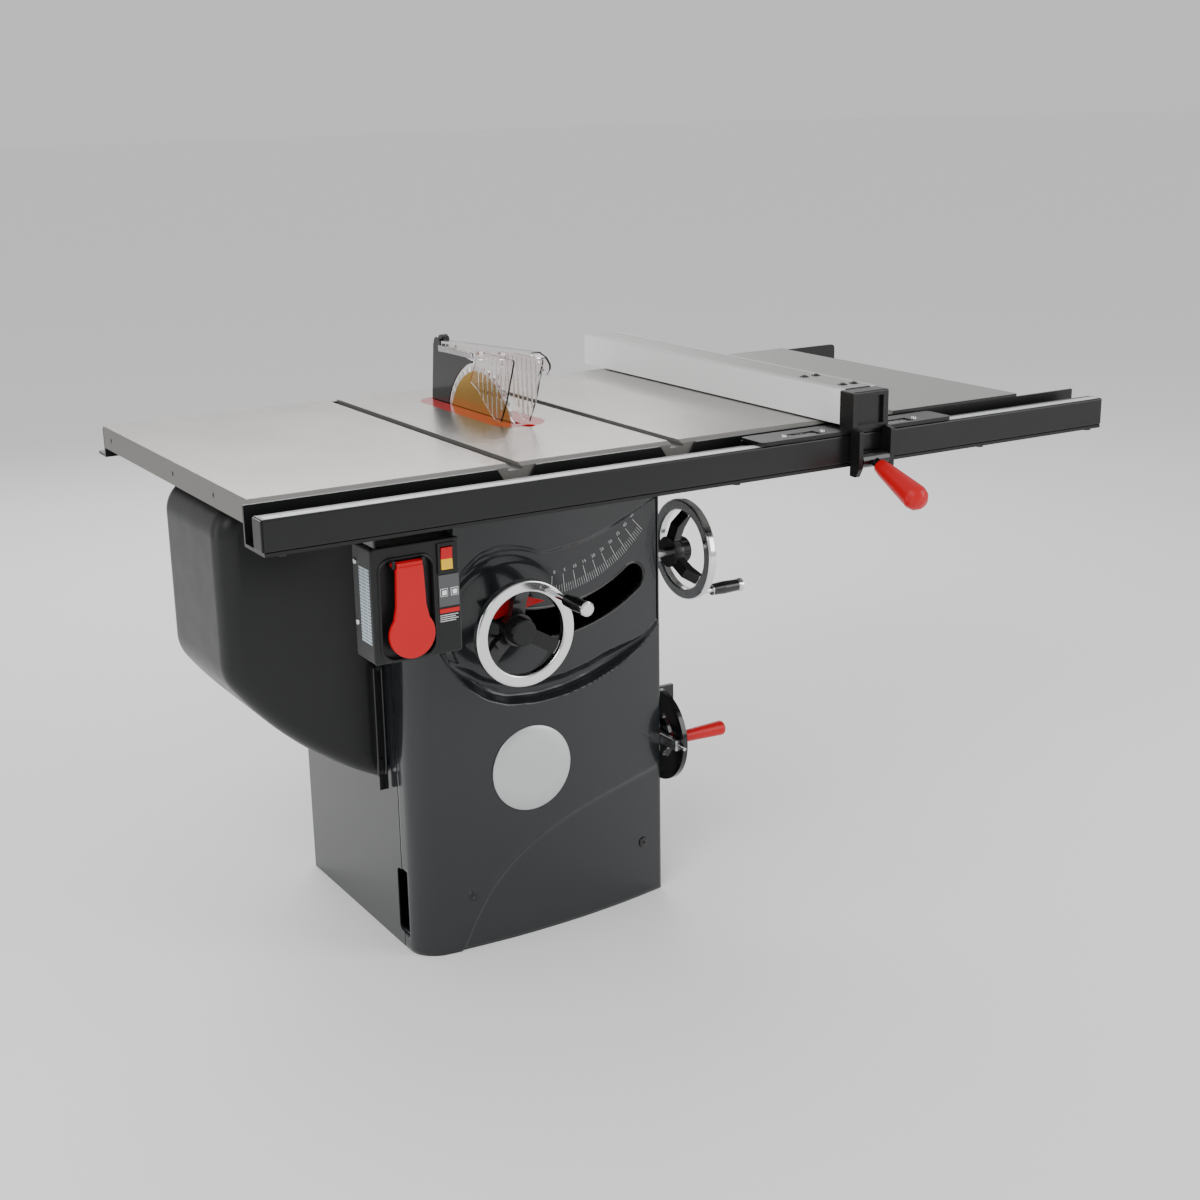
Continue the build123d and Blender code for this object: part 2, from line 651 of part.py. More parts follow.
with BuildPart() as rear_bracket:
    arc_band(rear_web_y, web_thickness, web_inner, web_outer, -68, 68)
    block((blade_x - web_outer, rear_web_y, frame_z - bracket_flange),
          (blade_x + web_outer, cabinet_rear - sheet - 1, frame_z))
    arc_band(rear_web_y - 1, web_thickness + 2, way_radius - way_width / 2 - way_gap,
             way_radius + way_width / 2 + way_gap, -way_reach, way_reach, mode=Mode.SUBTRACT)
    block((blade_x - web_outer - 40, rear_web_y - 80, frame_z),
          (blade_x + web_outer + 40, rear_web_y + 80, frame_z + 100), mode=Mode.SUBTRACT)
rear_bracket.part.label = "rear_bracket"
export_step(rear_bracket.part, "parts/rear_bracket.step")

way_start = -50.0
way_end = 10.0
arm_left = lift_shaft_x - 34.0
arm_right = lift_shaft_x + 34.0
beam_bottom = beam_top - beam_thickness
with BuildPart() as trunnion_yoke:
    for y in (front_plate_y, rear_plate_y):
        arc_band(y, trunnion_plate, web_inner + 22, tilt_pitch_radius + 6 if y > 0 else sector_inner + 26,
                 way_start, way_end)
        block((arm_left, y, beam_bottom), (arm_right - 12, y + trunnion_plate, table_height - 200))
    arc_band(front_plate_y + trunnion_plate, plate_gap + web_thickness + 3, way_radius - way_width / 2,
             way_radius + way_width / 2, way_start + 3, way_end - 3)
    arc_band(rear_web_y - 3, web_thickness + 5, way_radius - way_width / 2,
             way_radius + way_width / 2, way_start + 3, way_end - 3)
    block((beam_left, front_plate_y, beam_bottom), (beam_right, rear_plate_y + trunnion_plate, beam_top))
    block((beam_left - post_shift, front_plate_y, beam_bottom), (beam_right, post_front_y + 22, beam_top))
    # arc relief that the tilt worm's thread runs in as the trunnion swings past it
    arc_band(front_plate_y - 1, worm_relief + 1, worm_drop - 10, worm_drop + 10, -70, tilt_limit + 10,
             mode=Mode.SUBTRACT)
    bar((lift_shaft_x, front_plate_y - 8, lift_shaft_z), (0, 1, 0), 20, trunnion_plate + 16)
    bar((lift_shaft_x, front_plate_y - 20, lift_shaft_z), (0, 1, 0), lift_shaft_radius + running_gap, 60,
        mode=Mode.SUBTRACT)
    bar((lift_shaft_x, screw_y, beam_bottom - 1), (0, 0, 1), screw_radius + running_gap, beam_thickness + 2,
        mode=Mode.SUBTRACT)
trunnion_yoke.part.label = "trunnion_yoke"
export_step(trunnion_yoke.part, "parts/trunnion_yoke.step")

with BuildPart() as guide_posts:
    for x, y in posts:
        bar((x, y, beam_top), (0, 0, 1), post_radius, post_top - beam_top)
guide_posts.part.label = "guide_posts"
export_step(guide_posts.part, "parts/guide_posts.step")

# Sector gear: straight trapezoid teeth on the arc's outer side, in mesh with the worm below
tooth_step = 360.0 / tilt_full_teeth
tooth_root = tilt_pitch_radius - 3.2
tooth_tip = tilt_pitch_radius + 2.4
tooth_half_root = 2.6
tooth_half_tip = 1.1
sector_front = worm_y - sector_width / 2
sector_start = -(sector_teeth_behind + 0.5) * tooth_step - 0.8
sector_end = (sector_teeth_ahead + 0.5) * tooth_step + 0.8
with BuildPart() as sector_gear:
    arc_band(sector_front, front_plate_y - sector_front, sector_inner, tooth_root, sector_start, sector_end)
    with BuildSketch(front_plane(sector_front + sector_width)) as teeth:
        for index in range(-sector_teeth_behind, sector_teeth_ahead + 1):
            middle = (index - 0.5) * tooth_step
            corners = []
            for radius, half in ((tooth_root - 1, -tooth_half_root), (tooth_tip, -tooth_half_tip),
                                 (tooth_tip, tooth_half_tip), (tooth_root - 1, tooth_half_root)):
                corners.append(about_tilt(radius, middle + degrees(half / radius)))
            with BuildLine():
                Polyline(*corners, close=True)
            make_face()
    extrude(teeth.sketch, amount=sector_width)
sector_gear.part.label = "sector_gear"
export_step(sector_gear.part, "parts/sector_gear.step")

worm_lug = 12.0
worm_half = worm_length / 2 + 1.0
with BuildPart() as worm_bracket:
    block((blade_x - worm_half - worm_lug, corner_y - 6, worm_z - 14),
          (blade_x + worm_half + worm_lug, corner_y + 4, frame_z - bracket_flange))
    for x in (blade_x - worm_half - worm_lug, blade_x + worm_half):
        block((x, corner_y + 3, worm_z - 13), (x + worm_lug, worm_y, worm_z + 11))
        bar((x, worm_y, worm_z), (1, 0, 0), 13, worm_lug)
    block((blade_x - 60, corner_y - 6, frame_z - bracket_flange - 12),
          (blade_x + 60, corner_y + 30, frame_z - bracket_flange))
    bar((blade_x - 60, worm_y, worm_z), (1, 0, 0), tilt_shaft_radius + running_gap, 120, mode=Mode.SUBTRACT)
worm_bracket.part.label = "worm_bracket"
export_step(worm_bracket.part, "parts/worm_bracket.step")

# ===== Arbor, blade and motor =======================================================

mount_left = motor_right
mount_right = mount_left + mount_thickness
collar_radius = 44.0
knife_gap = 4.5             # between the blade's teeth and the spreader
knife_inner = blade_radius + knife_gap
clamp_front = blade_y + knife_inner + 1.5
clamp_rear = clamp_front + 26
with BuildPart() as arbor_block:
    bar((housing_left, blade_y, arbor_z), (1, 0, 0), housing_radius, housing_right - housing_left)
    bar((housing_right - 8, blade_y, arbor_z), (1, 0, 0), collar_radius, 10)
    block((post_x - 22, post_front_y - 18, arbor_z - 48), (post_x + 22, post_rear_y + 18, arbor_z - 18))
    block((post_x - 22 - post_shift, post_front_y - 18, arbor_z - 48), (post_x, post_front_y + 18, arbor_z - 18))
    for x, y in posts:
        bar((x, y, arbor_z - 60), (0, 0, 1), post_radius + 7, 66)
    bar((lift_shaft_x, screw_y, arbor_z - 74), (0, 0, 1), screw_radius + 8, 40)
    # arms past the belt to the plate that carries the motor
    for y in (motor_y - 104, motor_y + 44):
        block((mount_left, y, arbor_z - 48), (post_x, y + 18, arbor_z - 18))
    block((mount_left, motor_y - 104, motor_z - 66), (mount_right, motor_y + 62, arbor_z - 18))
    # arm to the spreader's clamp, on the blade's left
    block((blade_x - 60, blade_y + 8, arbor_z - 26), (blade_x - 20, clamp_rear, arbor_z + 8))
    block((blade_x - 21, clamp_front, arbor_z - 34), (blade_x - 1.1, clamp_rear, arbor_z + 12))
    bar((mount_left - 1, motor_y, motor_z), (1, 0, 0), 26, mount_thickness + 2, mode=Mode.SUBTRACT)
    block((housing_right - 9, blade_y - 60, plate_bottom - 6), (housing_right + 4, blade_y + 60, table_height),
          mode=Mode.SUBTRACT)
    bar((housing_left - 1, blade_y, arbor_z), (1, 0, 0), bearing_radius, housing_right - housing_left + 4,
        mode=Mode.SUBTRACT)
    for x, y in posts:
        bar((x, y, arbor_z - 90), (0, 0, 1), post_radius + running_gap, 110, mode=Mode.SUBTRACT)
    bar((lift_shaft_x, screw_y, arbor_z - 90), (0, 0, 1), screw_radius + running_gap, 110, mode=Mode.SUBTRACT)
arbor_block.part.label = "arbor_block"
export_step(arbor_block.part, "parts/arbor_block.step")

with BuildPart() as arbor_bearings:
    for x in (housing_left + 2, housing_right - bearing_width):
        bar((x, blade_y, arbor_z), (1, 0, 0), bearing_radius, bearing_width)
        bar((x - 1, blade_y, arbor_z), (1, 0, 0), arbor_radius + running_gap, bearing_width + 2,
            mode=Mode.SUBTRACT)
arbor_bearings.part.label = "arbor_bearings"
export_step(arbor_bearings.part, "parts/arbor_bearings.step")

blade_left = blade_x - blade_thickness / 2
blade_right = blade_x + blade_thickness / 2
nut_right = blade_right + outer_flange + nut_length
with BuildPart() as arbor_shaft:
    bar((arbor_left + 20, blade_y, arbor_z), (1, 0, 0), arbor_radius, nut_right - arbor_left - 20)
    bar((housing_right + 3, blade_y, arbor_z), (1, 0, 0), flange_radius, blade_left - housing_right - 3)
    bar((pulley_left, blade_y, arbor_z), (1, 0, 0), arbor_pulley_radius, pulley_width)
    for side in (pulley_left, pulley_left + pulley_width - 2):
        bar((side, blade_y, arbor_z), (1, 0, 0), arbor_pulley_radius + 2, 2)
arbor_shaft.part.label = "arbor_shaft"
export_step(arbor_shaft.part, "parts/arbor_shaft.step")

tooth_turn = 360.0 / blade_teeth
with BuildPart() as saw_blade:
    with BuildSketch(side_plane(blade_left)) as disc:
        with Locations((blade_y, arbor_z)):
            Circle(blade_radius - gullet_depth)
        for index in range(blade_teeth):
            start = radians(index * tooth_turn)
            points = []
            for radius, turn in ((blade_radius - gullet_depth - 3, 0.0), (blade_radius - gullet_depth, 0.10),
                                 (blade_radius, 0.06), (blade_radius - 1.2, 0.50),
                                 (blade_radius - gullet_depth - 3, 0.95)):
                angle = start - radians(turn * tooth_turn)
                points.append((blade_y + radius * cos(angle), arbor_z + radius * sin(angle)))
            with BuildLine():
                Polyline(*points, close=True)
            make_face()
        with Locations((blade_y, arbor_z)):
            Circle(blade_hole, mode=Mode.SUBTRACT)
    extrude(disc.sketch, amount=blade_thickness)
saw_blade.part.label = "saw_blade"
export_step(saw_blade.part, "parts/saw_blade.step")

with BuildPart() as arbor_nut:
    bar((blade_right, blade_y, arbor_z), (1, 0, 0), flange_radius, outer_flange)
    with BuildSketch(side_plane(blade_right + outer_flange)) as hexagon:
        with Locations((blade_y, arbor_z)):
            RegularPolygon(nut_across / 2, 6, major_radius=False)
    extrude(hexagon.sketch, amount=nut_length)
    bar((blade_right - 1, blade_y, arbor_z), (1, 0, 0), arbor_radius, 30, mode=Mode.SUBTRACT)
arbor_nut.part.label = "arbor_nut"
export_step(arbor_nut.part, "parts/arbor_nut.step")

motor_left = motor_right - motor_length
fin_count = 18
with BuildPart() as motor_body:
    bar((motor_left + 30, motor_y, motor_z), (1, 0, 0), motor_radius - 8, motor_length - 30)
    for index in range(fin_count):
        bar((motor_left + 34 + index * (motor_length - 50) / fin_count, motor_y, motor_z), (1, 0, 0),
            motor_radius - 1, 4)
    bar((motor_right - 16, motor_y, motor_z), (1, 0, 0), motor_radius, 16)
    bar((motor_left, motor_y, motor_z), (1, 0, 0), motor_radius, 31)
    block((motor_left + 90, motor_y + motor_radius - 20, motor_z - 36),
          (motor_left + 200, motor_y + motor_radius + 8, motor_z + 36))
    bar((motor_right - 40, motor_y, motor_z), (1, 0, 0), motor_shaft_radius + running_gap, 41,
        mode=Mode.SUBTRACT)
    with Locations(Plane(origin=(motor_left - 1, motor_y, motor_z), z_dir=(1, 0, 0))):
        with PolarLocations(motor_radius * 0.55, 10):
            Cylinder(9, 24, align=(Align.CENTER, Align.CENTER, Align.MIN), mode=Mode.SUBTRACT)
motor_body.part.label = "motor_body"
export_step(motor_body.part, "parts/motor_body.step")

with BuildPart() as motor_pulley:
    bar((motor_right - 40, motor_y, motor_z), (1, 0, 0), motor_shaft_radius,
        40 + pulley_left + pulley_width + 2 - motor_right)
    bar((pulley_left, motor_y, motor_z), (1, 0, 0), motor_pulley_radius, pulley_width)
    for side in (pulley_left, pulley_left + pulley_width - 2):
        bar((side, motor_y, motor_z), (1, 0, 0), motor_pulley_radius + 2, 2)
motor_pulley.part.label = "motor_pulley"
export_step(motor_pulley.part, "parts/motor_pulley.step")


def belt_outline(plane, growth):
    """The belt's path round both pulleys, grown outwards: two arcs and two straight runs."""
    radius_a = arbor_pulley_radius + growth
    radius_b = motor_pulley_radius + growth
    across = motor_y - blade_y
    down = motor_z - arbor_z
    distance = hypot(across, down)
    with BuildSketch(plane) as outline:
        with Locations((blade_y, arbor_z)):
            Circle(radius_a)
        with Locations((motor_y, motor_z)):
            Circle(radius_b)
        lean = (radius_a - radius_b) / distance
        along = (across / distance, down / distance)
        corners = []
        for side in (1, -1):
            normal = (lean * along[0] - side * sqrt(1 - lean ** 2) * along[1],
                      lean * along[1] + side * sqrt(1 - lean ** 2) * along[0])
            ends = [(blade_y + radius_a * normal[0], arbor_z + radius_a * normal[1]),
                    (motor_y + radius_b * normal[0], motor_z + radius_b * normal[1])]
            corners += ends if side > 0 else ends[::-1]
        with BuildLine():
            Polyline(*corners, close=True)
        make_face()
    return outline.sketch


with BuildPart() as drive_belt:
    belt_plane = side_plane(pulley_left + 3)
    extrude(belt_outline(belt_plane, belt_gap + belt_thickness), amount=pulley_width - 6)
    extrude(belt_outline(belt_plane, belt_gap), amount=pulley_width - 6, mode=Mode.SUBTRACT)
drive_belt.part.label = "drive_belt"
export_step(drive_belt.part, "parts/drive_belt.step")

shroud_left = housing_right + 2
shroud_right = blade_x + 17.0
shroud_radius = blade_radius + 8
shroud_wall = 2.0
with BuildPart() as blade_shroud:
    bar((shroud_left, blade_y, arbor_z), (1, 0, 0), shroud_radius, shroud_right - shroud_left)
    bar((shroud_left + shroud_wall, blade_y, arbor_z), (1, 0, 0), shroud_radius - 3,
        shroud_right - shroud_left - 2 * shroud_wall, mode=Mode.SUBTRACT)
    bar((shroud_left - 1, blade_y, arbor_z), (1, 0, 0), flange_radius + 4, 60, mode=Mode.SUBTRACT)
    block((shroud_left - 1, blade_y - 200, arbor_z - 18), (shroud_right + 1, blade_y + 200, arbor_z + 200),
          mode=Mode.SUBTRACT)
    block((shroud_left - 1, blade_y + 92, arbor_z - 200), (shroud_right + 1, blade_y + 200, arbor_z + 200),
          mode=Mode.SUBTRACT)
blade_shroud.part.label = "blade_shroud"
export_step(blade_shroud.part, "parts/blade_shroud.step")

with BuildPart() as brake_cartridge:
    block((blade_x - 16, blade_y + 94, arbor_z - 128), (blade_x + 16, blade_y + 160, arbor_z - 36))
    bar((blade_x - 17, blade_y, arbor_z), (1, 0, 0), blade_radius + 4, 34, mode=Mode.SUBTRACT)
    fillet(brake_cartridge.edges().filter_by(Axis.X).group_by(Axis.Y)[-1], 8)
brake_cartridge.part.label = "brake_cartridge"
export_step(brake_cartridge.part, "parts/brake_cartridge.step")

# Spreader: a plate behind the blade, its front edge concentric with the teeth
knife_half = 1.1
knife_rear = throat_rear - 13
knife_top = table_height + 101.0
knife_tip_y = blade_y + 27.0
knife_tip_z = arbor_z + sqrt(knife_inner ** 2 - 27.0 ** 2)
pawl_pivot_y = knife_rear - 44.0
pawl_pivot_z = knife_top - 7.0
pawl_gap = 0.4
with BuildPart() as spreader:
    slab(side_plane(blade_x - knife_half),
         ((clamp_front - 0.5, arbor_z - 30), (clamp_front - 0.5, arbor_z),
          (knife_tip_y, knife_tip_z - 40), (knife_tip_y, knife_tip_z + 4), (knife_rear - 12, knife_top),
          (knife_rear, table_height + 4), (knife_rear - 22, table_height - 30), (clamp_rear, arbor_z - 30)),
         2 * knife_half)
    bar((blade_x - 10, blade_y, arbor_z), (1, 0, 0), knife_inner, 20, mode=Mode.SUBTRACT)
    bar((blade_x - knife_half, knife_rear - 26, knife_top), (1, 0, 0), 12, 2 * knife_half)
    bar((blade_x - knife_half - 1, pawl_pivot_y, pawl_pivot_z), (1, 0, 0), 3 + running_gap, 2 * knife_half + 2,
        mode=Mode.SUBTRACT)
    bar((blade_x + knife_half, knife_rear - 26, knife_top + 3), (1, 0, 0), 5, 6)
    with BuildSketch(side_plane(blade_x + knife_half + 6)) as grip:
        with Locations((knife_rear - 26, knife_top + 3)):
            RegularPolygon(13, 8)
            fillet(grip.vertices(), 3)
    extrude(grip.sketch, amount=12)
spreader.part.label = "spreader"
export_step(spreader.part, "parts/spreader.step")

guard_half = 9.0
guard_wall = 2.0
guard_bottom = table_height + lift_travel + guard_half + 1.5
guard_front = blade_y - 228.0
guard_rear = blade_y + 126.0
guard_front_z = table_height + 127.5
guard_rear_z = table_height + 110.0
with BuildPart() as guard_top:
    slab(side_plane(blade_x - guard_half),
         ((guard_rear, guard_bottom + 4), (guard_rear, guard_rear_z), (guard_front + 34, guard_front_z),
          (guard_front + 12, guard_front_z - 6), (guard_front, guard_front_z - 16),
          (guard_front, guard_bottom + 12), (guard_front + 12, guard_bottom), (blade_y + 20, guard_bottom)),
         2 * guard_half)
    slab(side_plane(blade_x - guard_half + guard_wall),
         ((guard_rear + 1, guard_bottom - 1), (guard_rear + 1, guard_rear_z - 2 * guard_wall),
          (guard_front + 35, guard_front_z - 2 * guard_wall), (guard_front + 14, guard_front_z - 9),
          (guard_front + 3, guard_front_z - 18), (guard_front + 3, guard_bottom - 1)),
         2 * (guard_half - guard_wall), mode=Mode.SUBTRACT)
    block((blade_x - knife_half, guard_rear - 40, knife_top + 0.2),
          (blade_x + knife_half, guard_rear - 1, guard_rear_z - 3))
guard_top.part.label = "guard_top"
export_step(guard_top.part, "parts/guard_top.step")

shield_thickness = 3.0
shield_offset = 19.5
shield_pivot_y = blade_y - 36.0
shield_pivot_z = table_height + 104.0
shield_outline = ((-32, 112), (-162, 112), (-132, 40), (-110, 4), (-90, 4), (-65, 20), (-32, 46),
                  (-4, 58), (-26, 90))


def guard_shield(side, shift):
    """One clear side shield, with a hollow boss from its pivot towards the guard's top."""
    points = [(blade_y + y + shift, table_height + z) for y, z in shield_outline]
    inner = blade_x + side * shield_offset
    boss = shield_offset - guard_half - clear_gap
    with BuildPart() as shield:
        slab(side_plane(min(inner, inner + side * shield_thickness)), points, shield_thickness, corner=3.5)
        bar((inner, shield_pivot_y + shift, shield_pivot_z), (-side, 0, 0), 7, boss)
        bar((inner + side * (shield_thickness + 1), shield_pivot_y + shift, shield_pivot_z), (-side, 0, 0), 2.5,
            shield_thickness + boss + 2, mode=Mode.SUBTRACT)
    return shield


left_shield = guard_shield(-1, 0)
left_shield.part.label = "left_shield"
export_step(left_shield.part, "parts/left_shield.step")
right_shield = guard_shield(1, -22)
right_shield.part.label = "right_shield"
export_step(right_shield.part, "parts/right_shield.step")

with BuildPart() as kickback_pawls:
    for x in (blade_x - knife_half - pawl_gap - 2, blade_x + knife_half + pawl_gap):
        slab(side_plane(x),
             ((pawl_pivot_y + 8, pawl_pivot_z - 5), (pawl_pivot_y + 8, pawl_pivot_z + 6),
              (blade_y + 24, pawl_pivot_z + 6), (blade_y + 22, pawl_pivot_z - 3),
              (pawl_pivot_y - 20, pawl_pivot_z - 4)), 2, corner=1.5)
    bar((blade_x - knife_half - pawl_gap - 2, pawl_pivot_y, pawl_pivot_z), (1, 0, 0), 3,
        2 * knife_half + 2 * pawl_gap + 4)
kickback_pawls.part.label = "kickback_pawls"
export_step(kickback_pawls.part, "parts/kickback_pawls.step")

# ===== Elevation and tilting gear ===================================================

bevel_depth = 20.0          # from the shafts' crossing to the large end, a 45 degree pair
tooth_angles = 360.0 / bevel_teeth


def bevel_gear(plane, phase):
    """A straight bevel gear, every section a scaled copy of the large end's outline."""
    sections = []
    for depth in (bevel_depth - bevel_face, bevel_depth):
        scale_now = depth / bevel_depth
        points = []
        for index in range(bevel_teeth):
            middle = radians((index + phase) * tooth_angles)
            for radius, half in ((0.88 * bevel_radius, -1.9), (1.07 * bevel_radius, -0.7),
                                 (1.07 * bevel_radius, 0.7), (0.88 * bevel_radius, 1.9)):
                angle = middle + half / radius
                points.append((radius * scale_now * cos(angle), radius * scale_now * sin(angle)))
        with BuildSketch(plane.offset(depth)) as section:
            with BuildLine():
                Polyline(*points, close=True)
            make_face()
        sections.append(section.sketch)
    loft(sections, ruled=True)


screw_top = arbor_z - 14.0
with BuildPart() as lift_screw:
    bevel_gear(Plane(origin=(lift_shaft_x, screw_y, lift_shaft_z), x_dir=(0, -1, 0), z_dir=(0, 0, -1)), 0.5)
    bar((lift_shaft_x, screw_y, beam_bottom - 4), (0, 0, 1), screw_radius, screw_top - beam_bottom + 4)
    bar((lift_shaft_x, screw_y, beam_top + 0.2), (0, 0, 1), 14, lift_shaft_z - bevel_depth - beam_top)
    bar((lift_shaft_x, screw_y, beam_bottom - 9), (0, 0, 1), 13, 8.8)
lift_screw.part.label = "lift_screw"
export_step(lift_screw.part, "parts/lift_screw.step")

hub_front = 26.0            # from the rim's face back to the hub's face
stud_radius = 5.0
stud_length = 14.0
with BuildPart() as elevation_shaft:
    bevel_gear(Plane(origin=(lift_shaft_x, screw_y, lift_shaft_z), x_dir=(0, 0, -1), z_dir=(0, -1, 0)), 0.0)
    bar((lift_shaft_x, screw_y - bevel_depth + bevel_face / 2, lift_shaft_z), (0, -1, 0), lift_shaft_radius,
        screw_y - bevel_depth + bevel_face / 2 - lift_wheel_y - hub_front)
    bar((lift_shaft_x, screw_y - bevel_depth, lift_shaft_z), (0, -1, 0), 14, 14)
    bar((lift_shaft_x, lift_wheel_y + hub_front, lift_shaft_z), (0, -1, 0), stud_radius, stud_length)
elevation_shaft.part.label = "elevation_shaft"
export_step(elevation_shaft.part, "parts/elevation_shaft.step")

worm_pitch = pi * tilt_module
thread_half = 1.5           # half the thread's thickness on the pitch line
thread_reach = 2.6          # the thread's height above the pitch line
thread_slope = 0.364
with BuildPart() as tilt_shaft:
    bar((blade_x - worm_half - worm_lug - 4, worm_y, worm_z), (1, 0, 0), tilt_shaft_radius,
        tilt_wheel_x - hub_front - blade_x + worm_half + worm_lug + 4)
    bar((blade_x - worm_length / 2, worm_y, worm_z), (1, 0, 0), worm_core, worm_length)
    bar((tilt_wheel_x - hub_front, worm_y, worm_z), (1, 0, 0), stud_radius, stud_length)
    with BuildPart(mode=Mode.PRIVATE) as thread:
        with BuildLine() as path:
            Helix(pitch=worm_pitch, height=4 * worm_pitch, radius=worm_pitch_radius)
        low = worm_pitch_radius - worm_core + 0.6
        with BuildSketch(Plane(origin=path.line @ 0, x_dir=(1, 0, 0), z_dir=path.line % 0)) as profile:
            with BuildLine():
                Polyline((-low, -thread_half - low * thread_slope),
                         (thread_reach, -thread_half + thread_reach * thread_slope),
                         (thread_reach, thread_half - thread_reach * thread_slope),
                         (-low, thread_half + low * thread_slope), close=True)
            make_face()
        sweep(profile.sketch, path=path.line, is_frenet=True)
    with Locations(Plane(origin=(blade_x - 2 * worm_pitch, worm_y, worm_z), x_dir=(0, 0, 1), z_dir=(1, 0, 0))):
        add(thread.part)
tilt_shaft.part.label = "tilt_shaft"
export_step(tilt_shaft.part, "parts/tilt_shaft.step")

crank_radius = wheel_radius - rim_width / 2         # the crank's distance from the wheel's axis
stem_radius = 5.0
stem_length = 35.0
spoke_width = 24.0


def handwheel(first_spoke, crank_turn):
    """A handwheel about +Z with its rim's face on Z = 0: dished spokes, a hub and bores."""
    with BuildPart() as wheel:
        Cylinder(wheel_radius, rim_thickness, align=(Align.CENTER, Align.CENTER, Align.MAX))
        Cylinder(wheel_radius - rim_width, rim_thickness, align=(Align.CENTER, Align.CENTER, Align.MAX),
                 mode=Mode.SUBTRACT)
        fillet(wheel.edges(), 4)
        bar((0, 0, -hub_depth), (0, 0, 1), hub_radius, hub_depth - hub_front)
        for index in range(3):
            turn = radians(first_spoke + 120 * index)
            plane = Plane(origin=(0, 0, 0), x_dir=(cos(turn), sin(turn), 0), z_dir=(sin(turn), -cos(turn), 0))
            with BuildSketch(plane) as spoke:
                with BuildLine():
                    Polyline((hub_radius - 6, 3 - hub_depth), (hub_radius - 6, -hub_front - 2),
                             (hub_radius + 20, -hub_front + 6), (wheel_radius - rim_width + 4, -5.3),
                             (wheel_radius - rim_width + 4, 5.3 - rim_thickness),
                             (hub_radius + 22, -hub_front - 8), close=True)
                make_face()
            extrude(spoke.sketch, amount=spoke_width / 2, both=True)
        bar((0, 0, -hub_depth - 1), (0, 0, 1), lift_shaft_radius, hub_depth, mode=Mode.SUBTRACT)
        turn = radians(crank_turn)
        bar((crank_radius * cos(turn), crank_radius * sin(turn), -12), (0, 0, 1), stem_radius + running_gap, 14,
            mode=Mode.SUBTRACT)
    return wheel.part


def turned_grip(outline):
    """A grip turned about +Z from an outline of radii and heights."""
    with BuildPart() as grip:
        with BuildSketch(Plane.XZ) as profile:
            with BuildLine():
                Polyline((0, outline[0][1]), *outline, close=True)
            make_face()
        revolve(profile.sketch, axis=Axis.Z)
    return grip.part


def wheel_crank():
    """A crank handle about +Z, standing on Z = 0, with its stem sunk in the rim."""
    return turned_grip(((stem_radius, -11.9), (stem_radius, stem_length), (10, stem_length),
                        (11.5, stem_length + 25), (10.5, crank_length - 10), (12, crank_length - 8),
                        (12, crank_length - 2), (9, crank_length), (0, crank_length)))


def lock_knob():
    """A lobed knob about +Z that turns on the shaft's end stud, in front of the hub."""
    with BuildPart() as knob:
        bar((0, 0, 0.2 - hub_front), (0, 0, 1), lock_knob_radius, 20)
        fillet(knob.edges().group_by(Axis.Z)[-1], 5)
        with PolarLocations(lock_knob_radius + 3, 8):
            Cylinder(5, 3 * hub_front, mode=Mode.SUBTRACT)
        bar((0, 0, -hub_front), (0, 0, 1), stud_radius + running_gap, stud_length + 0.2, mode=Mode.SUBTRACT)
    return knob.part


def facing(plane, turn, radius):
    """A plane moved out along its own face by a radius at an angle."""
    return plane.shift_origin(plane.from_local_coords(
        Vector(radius * cos(radians(turn)), radius * sin(radians(turn)), 0)))


lift_plane = Plane(origin=(lift_shaft_x, lift_wheel_y, lift_shaft_z), x_dir=(1, 0, 0), z_dir=(0, -1, 0))
tilt_plane = Plane(origin=(tilt_wheel_x, worm_y, worm_z), x_dir=(0, 1, 0), z_dir=(1, 0, 0))
lift_crank_turn = 45.7
tilt_crank_turn = 255.0

with BuildPart() as elevation_wheel:
    with Locations(lift_plane):
        add(handwheel(90, lift_crank_turn))
elevation_wheel.part.label = "elevation_wheel"
export_step(elevation_wheel.part, "parts/elevation_wheel.step")

with BuildPart() as elevation_crank:
    with Locations(facing(lift_plane, lift_crank_turn, crank_radius)):
        add(wheel_crank())
elevation_crank.part.label = "elevation_crank"
export_step(elevation_crank.part, "parts/elevation_crank.step")

with BuildPart() as elevation_knob:
    with Locations(lift_plane):
        add(lock_knob())
elevation_knob.part.label = "elevation_knob"
export_step(elevation_knob.part, "parts/elevation_knob.step")

with BuildPart() as tilt_wheel:
    with Locations(tilt_plane):
        add(handwheel(100, tilt_crank_turn))
tilt_wheel.part.label = "tilt_wheel"
export_step(tilt_wheel.part, "parts/tilt_wheel.step")

with BuildPart() as tilt_crank:
    with Locations(facing(tilt_plane, tilt_crank_turn, crank_radius)):
        add(wheel_crank())
tilt_crank.part.label = "tilt_crank"
export_step(tilt_crank.part, "parts/tilt_crank.step")

with BuildPart() as tilt_knob:
    with Locations(tilt_plane):
        add(lock_knob())
tilt_knob.part.label = "tilt_knob"
export_step(tilt_knob.part, "parts/tilt_knob.step")

# ===== Fence ========================================================================

fence_middle = fence_left + fence_width / 2
tube_left = fence_left + face_thickness
tube_right = fence_right - face_thickness
with BuildPart() as fence_tube:
    block((tube_left, fence_front, fence_bottom), (tube_right, fence_rear, fence_top))
    fillet(fence_tube.edges().filter_by(Axis.Y), 2.5)
    block((tube_left + fence_wall, fence_front - 1, fence_bottom + fence_wall),
          (tube_right - fence_wall, fence_rear - fence_wall, fence_top - fence_wall), mode=Mode.SUBTRACT)
fence_tube.part.label = "fence_tube"
export_step(fence_tube.part, "parts/fence_tube.step")

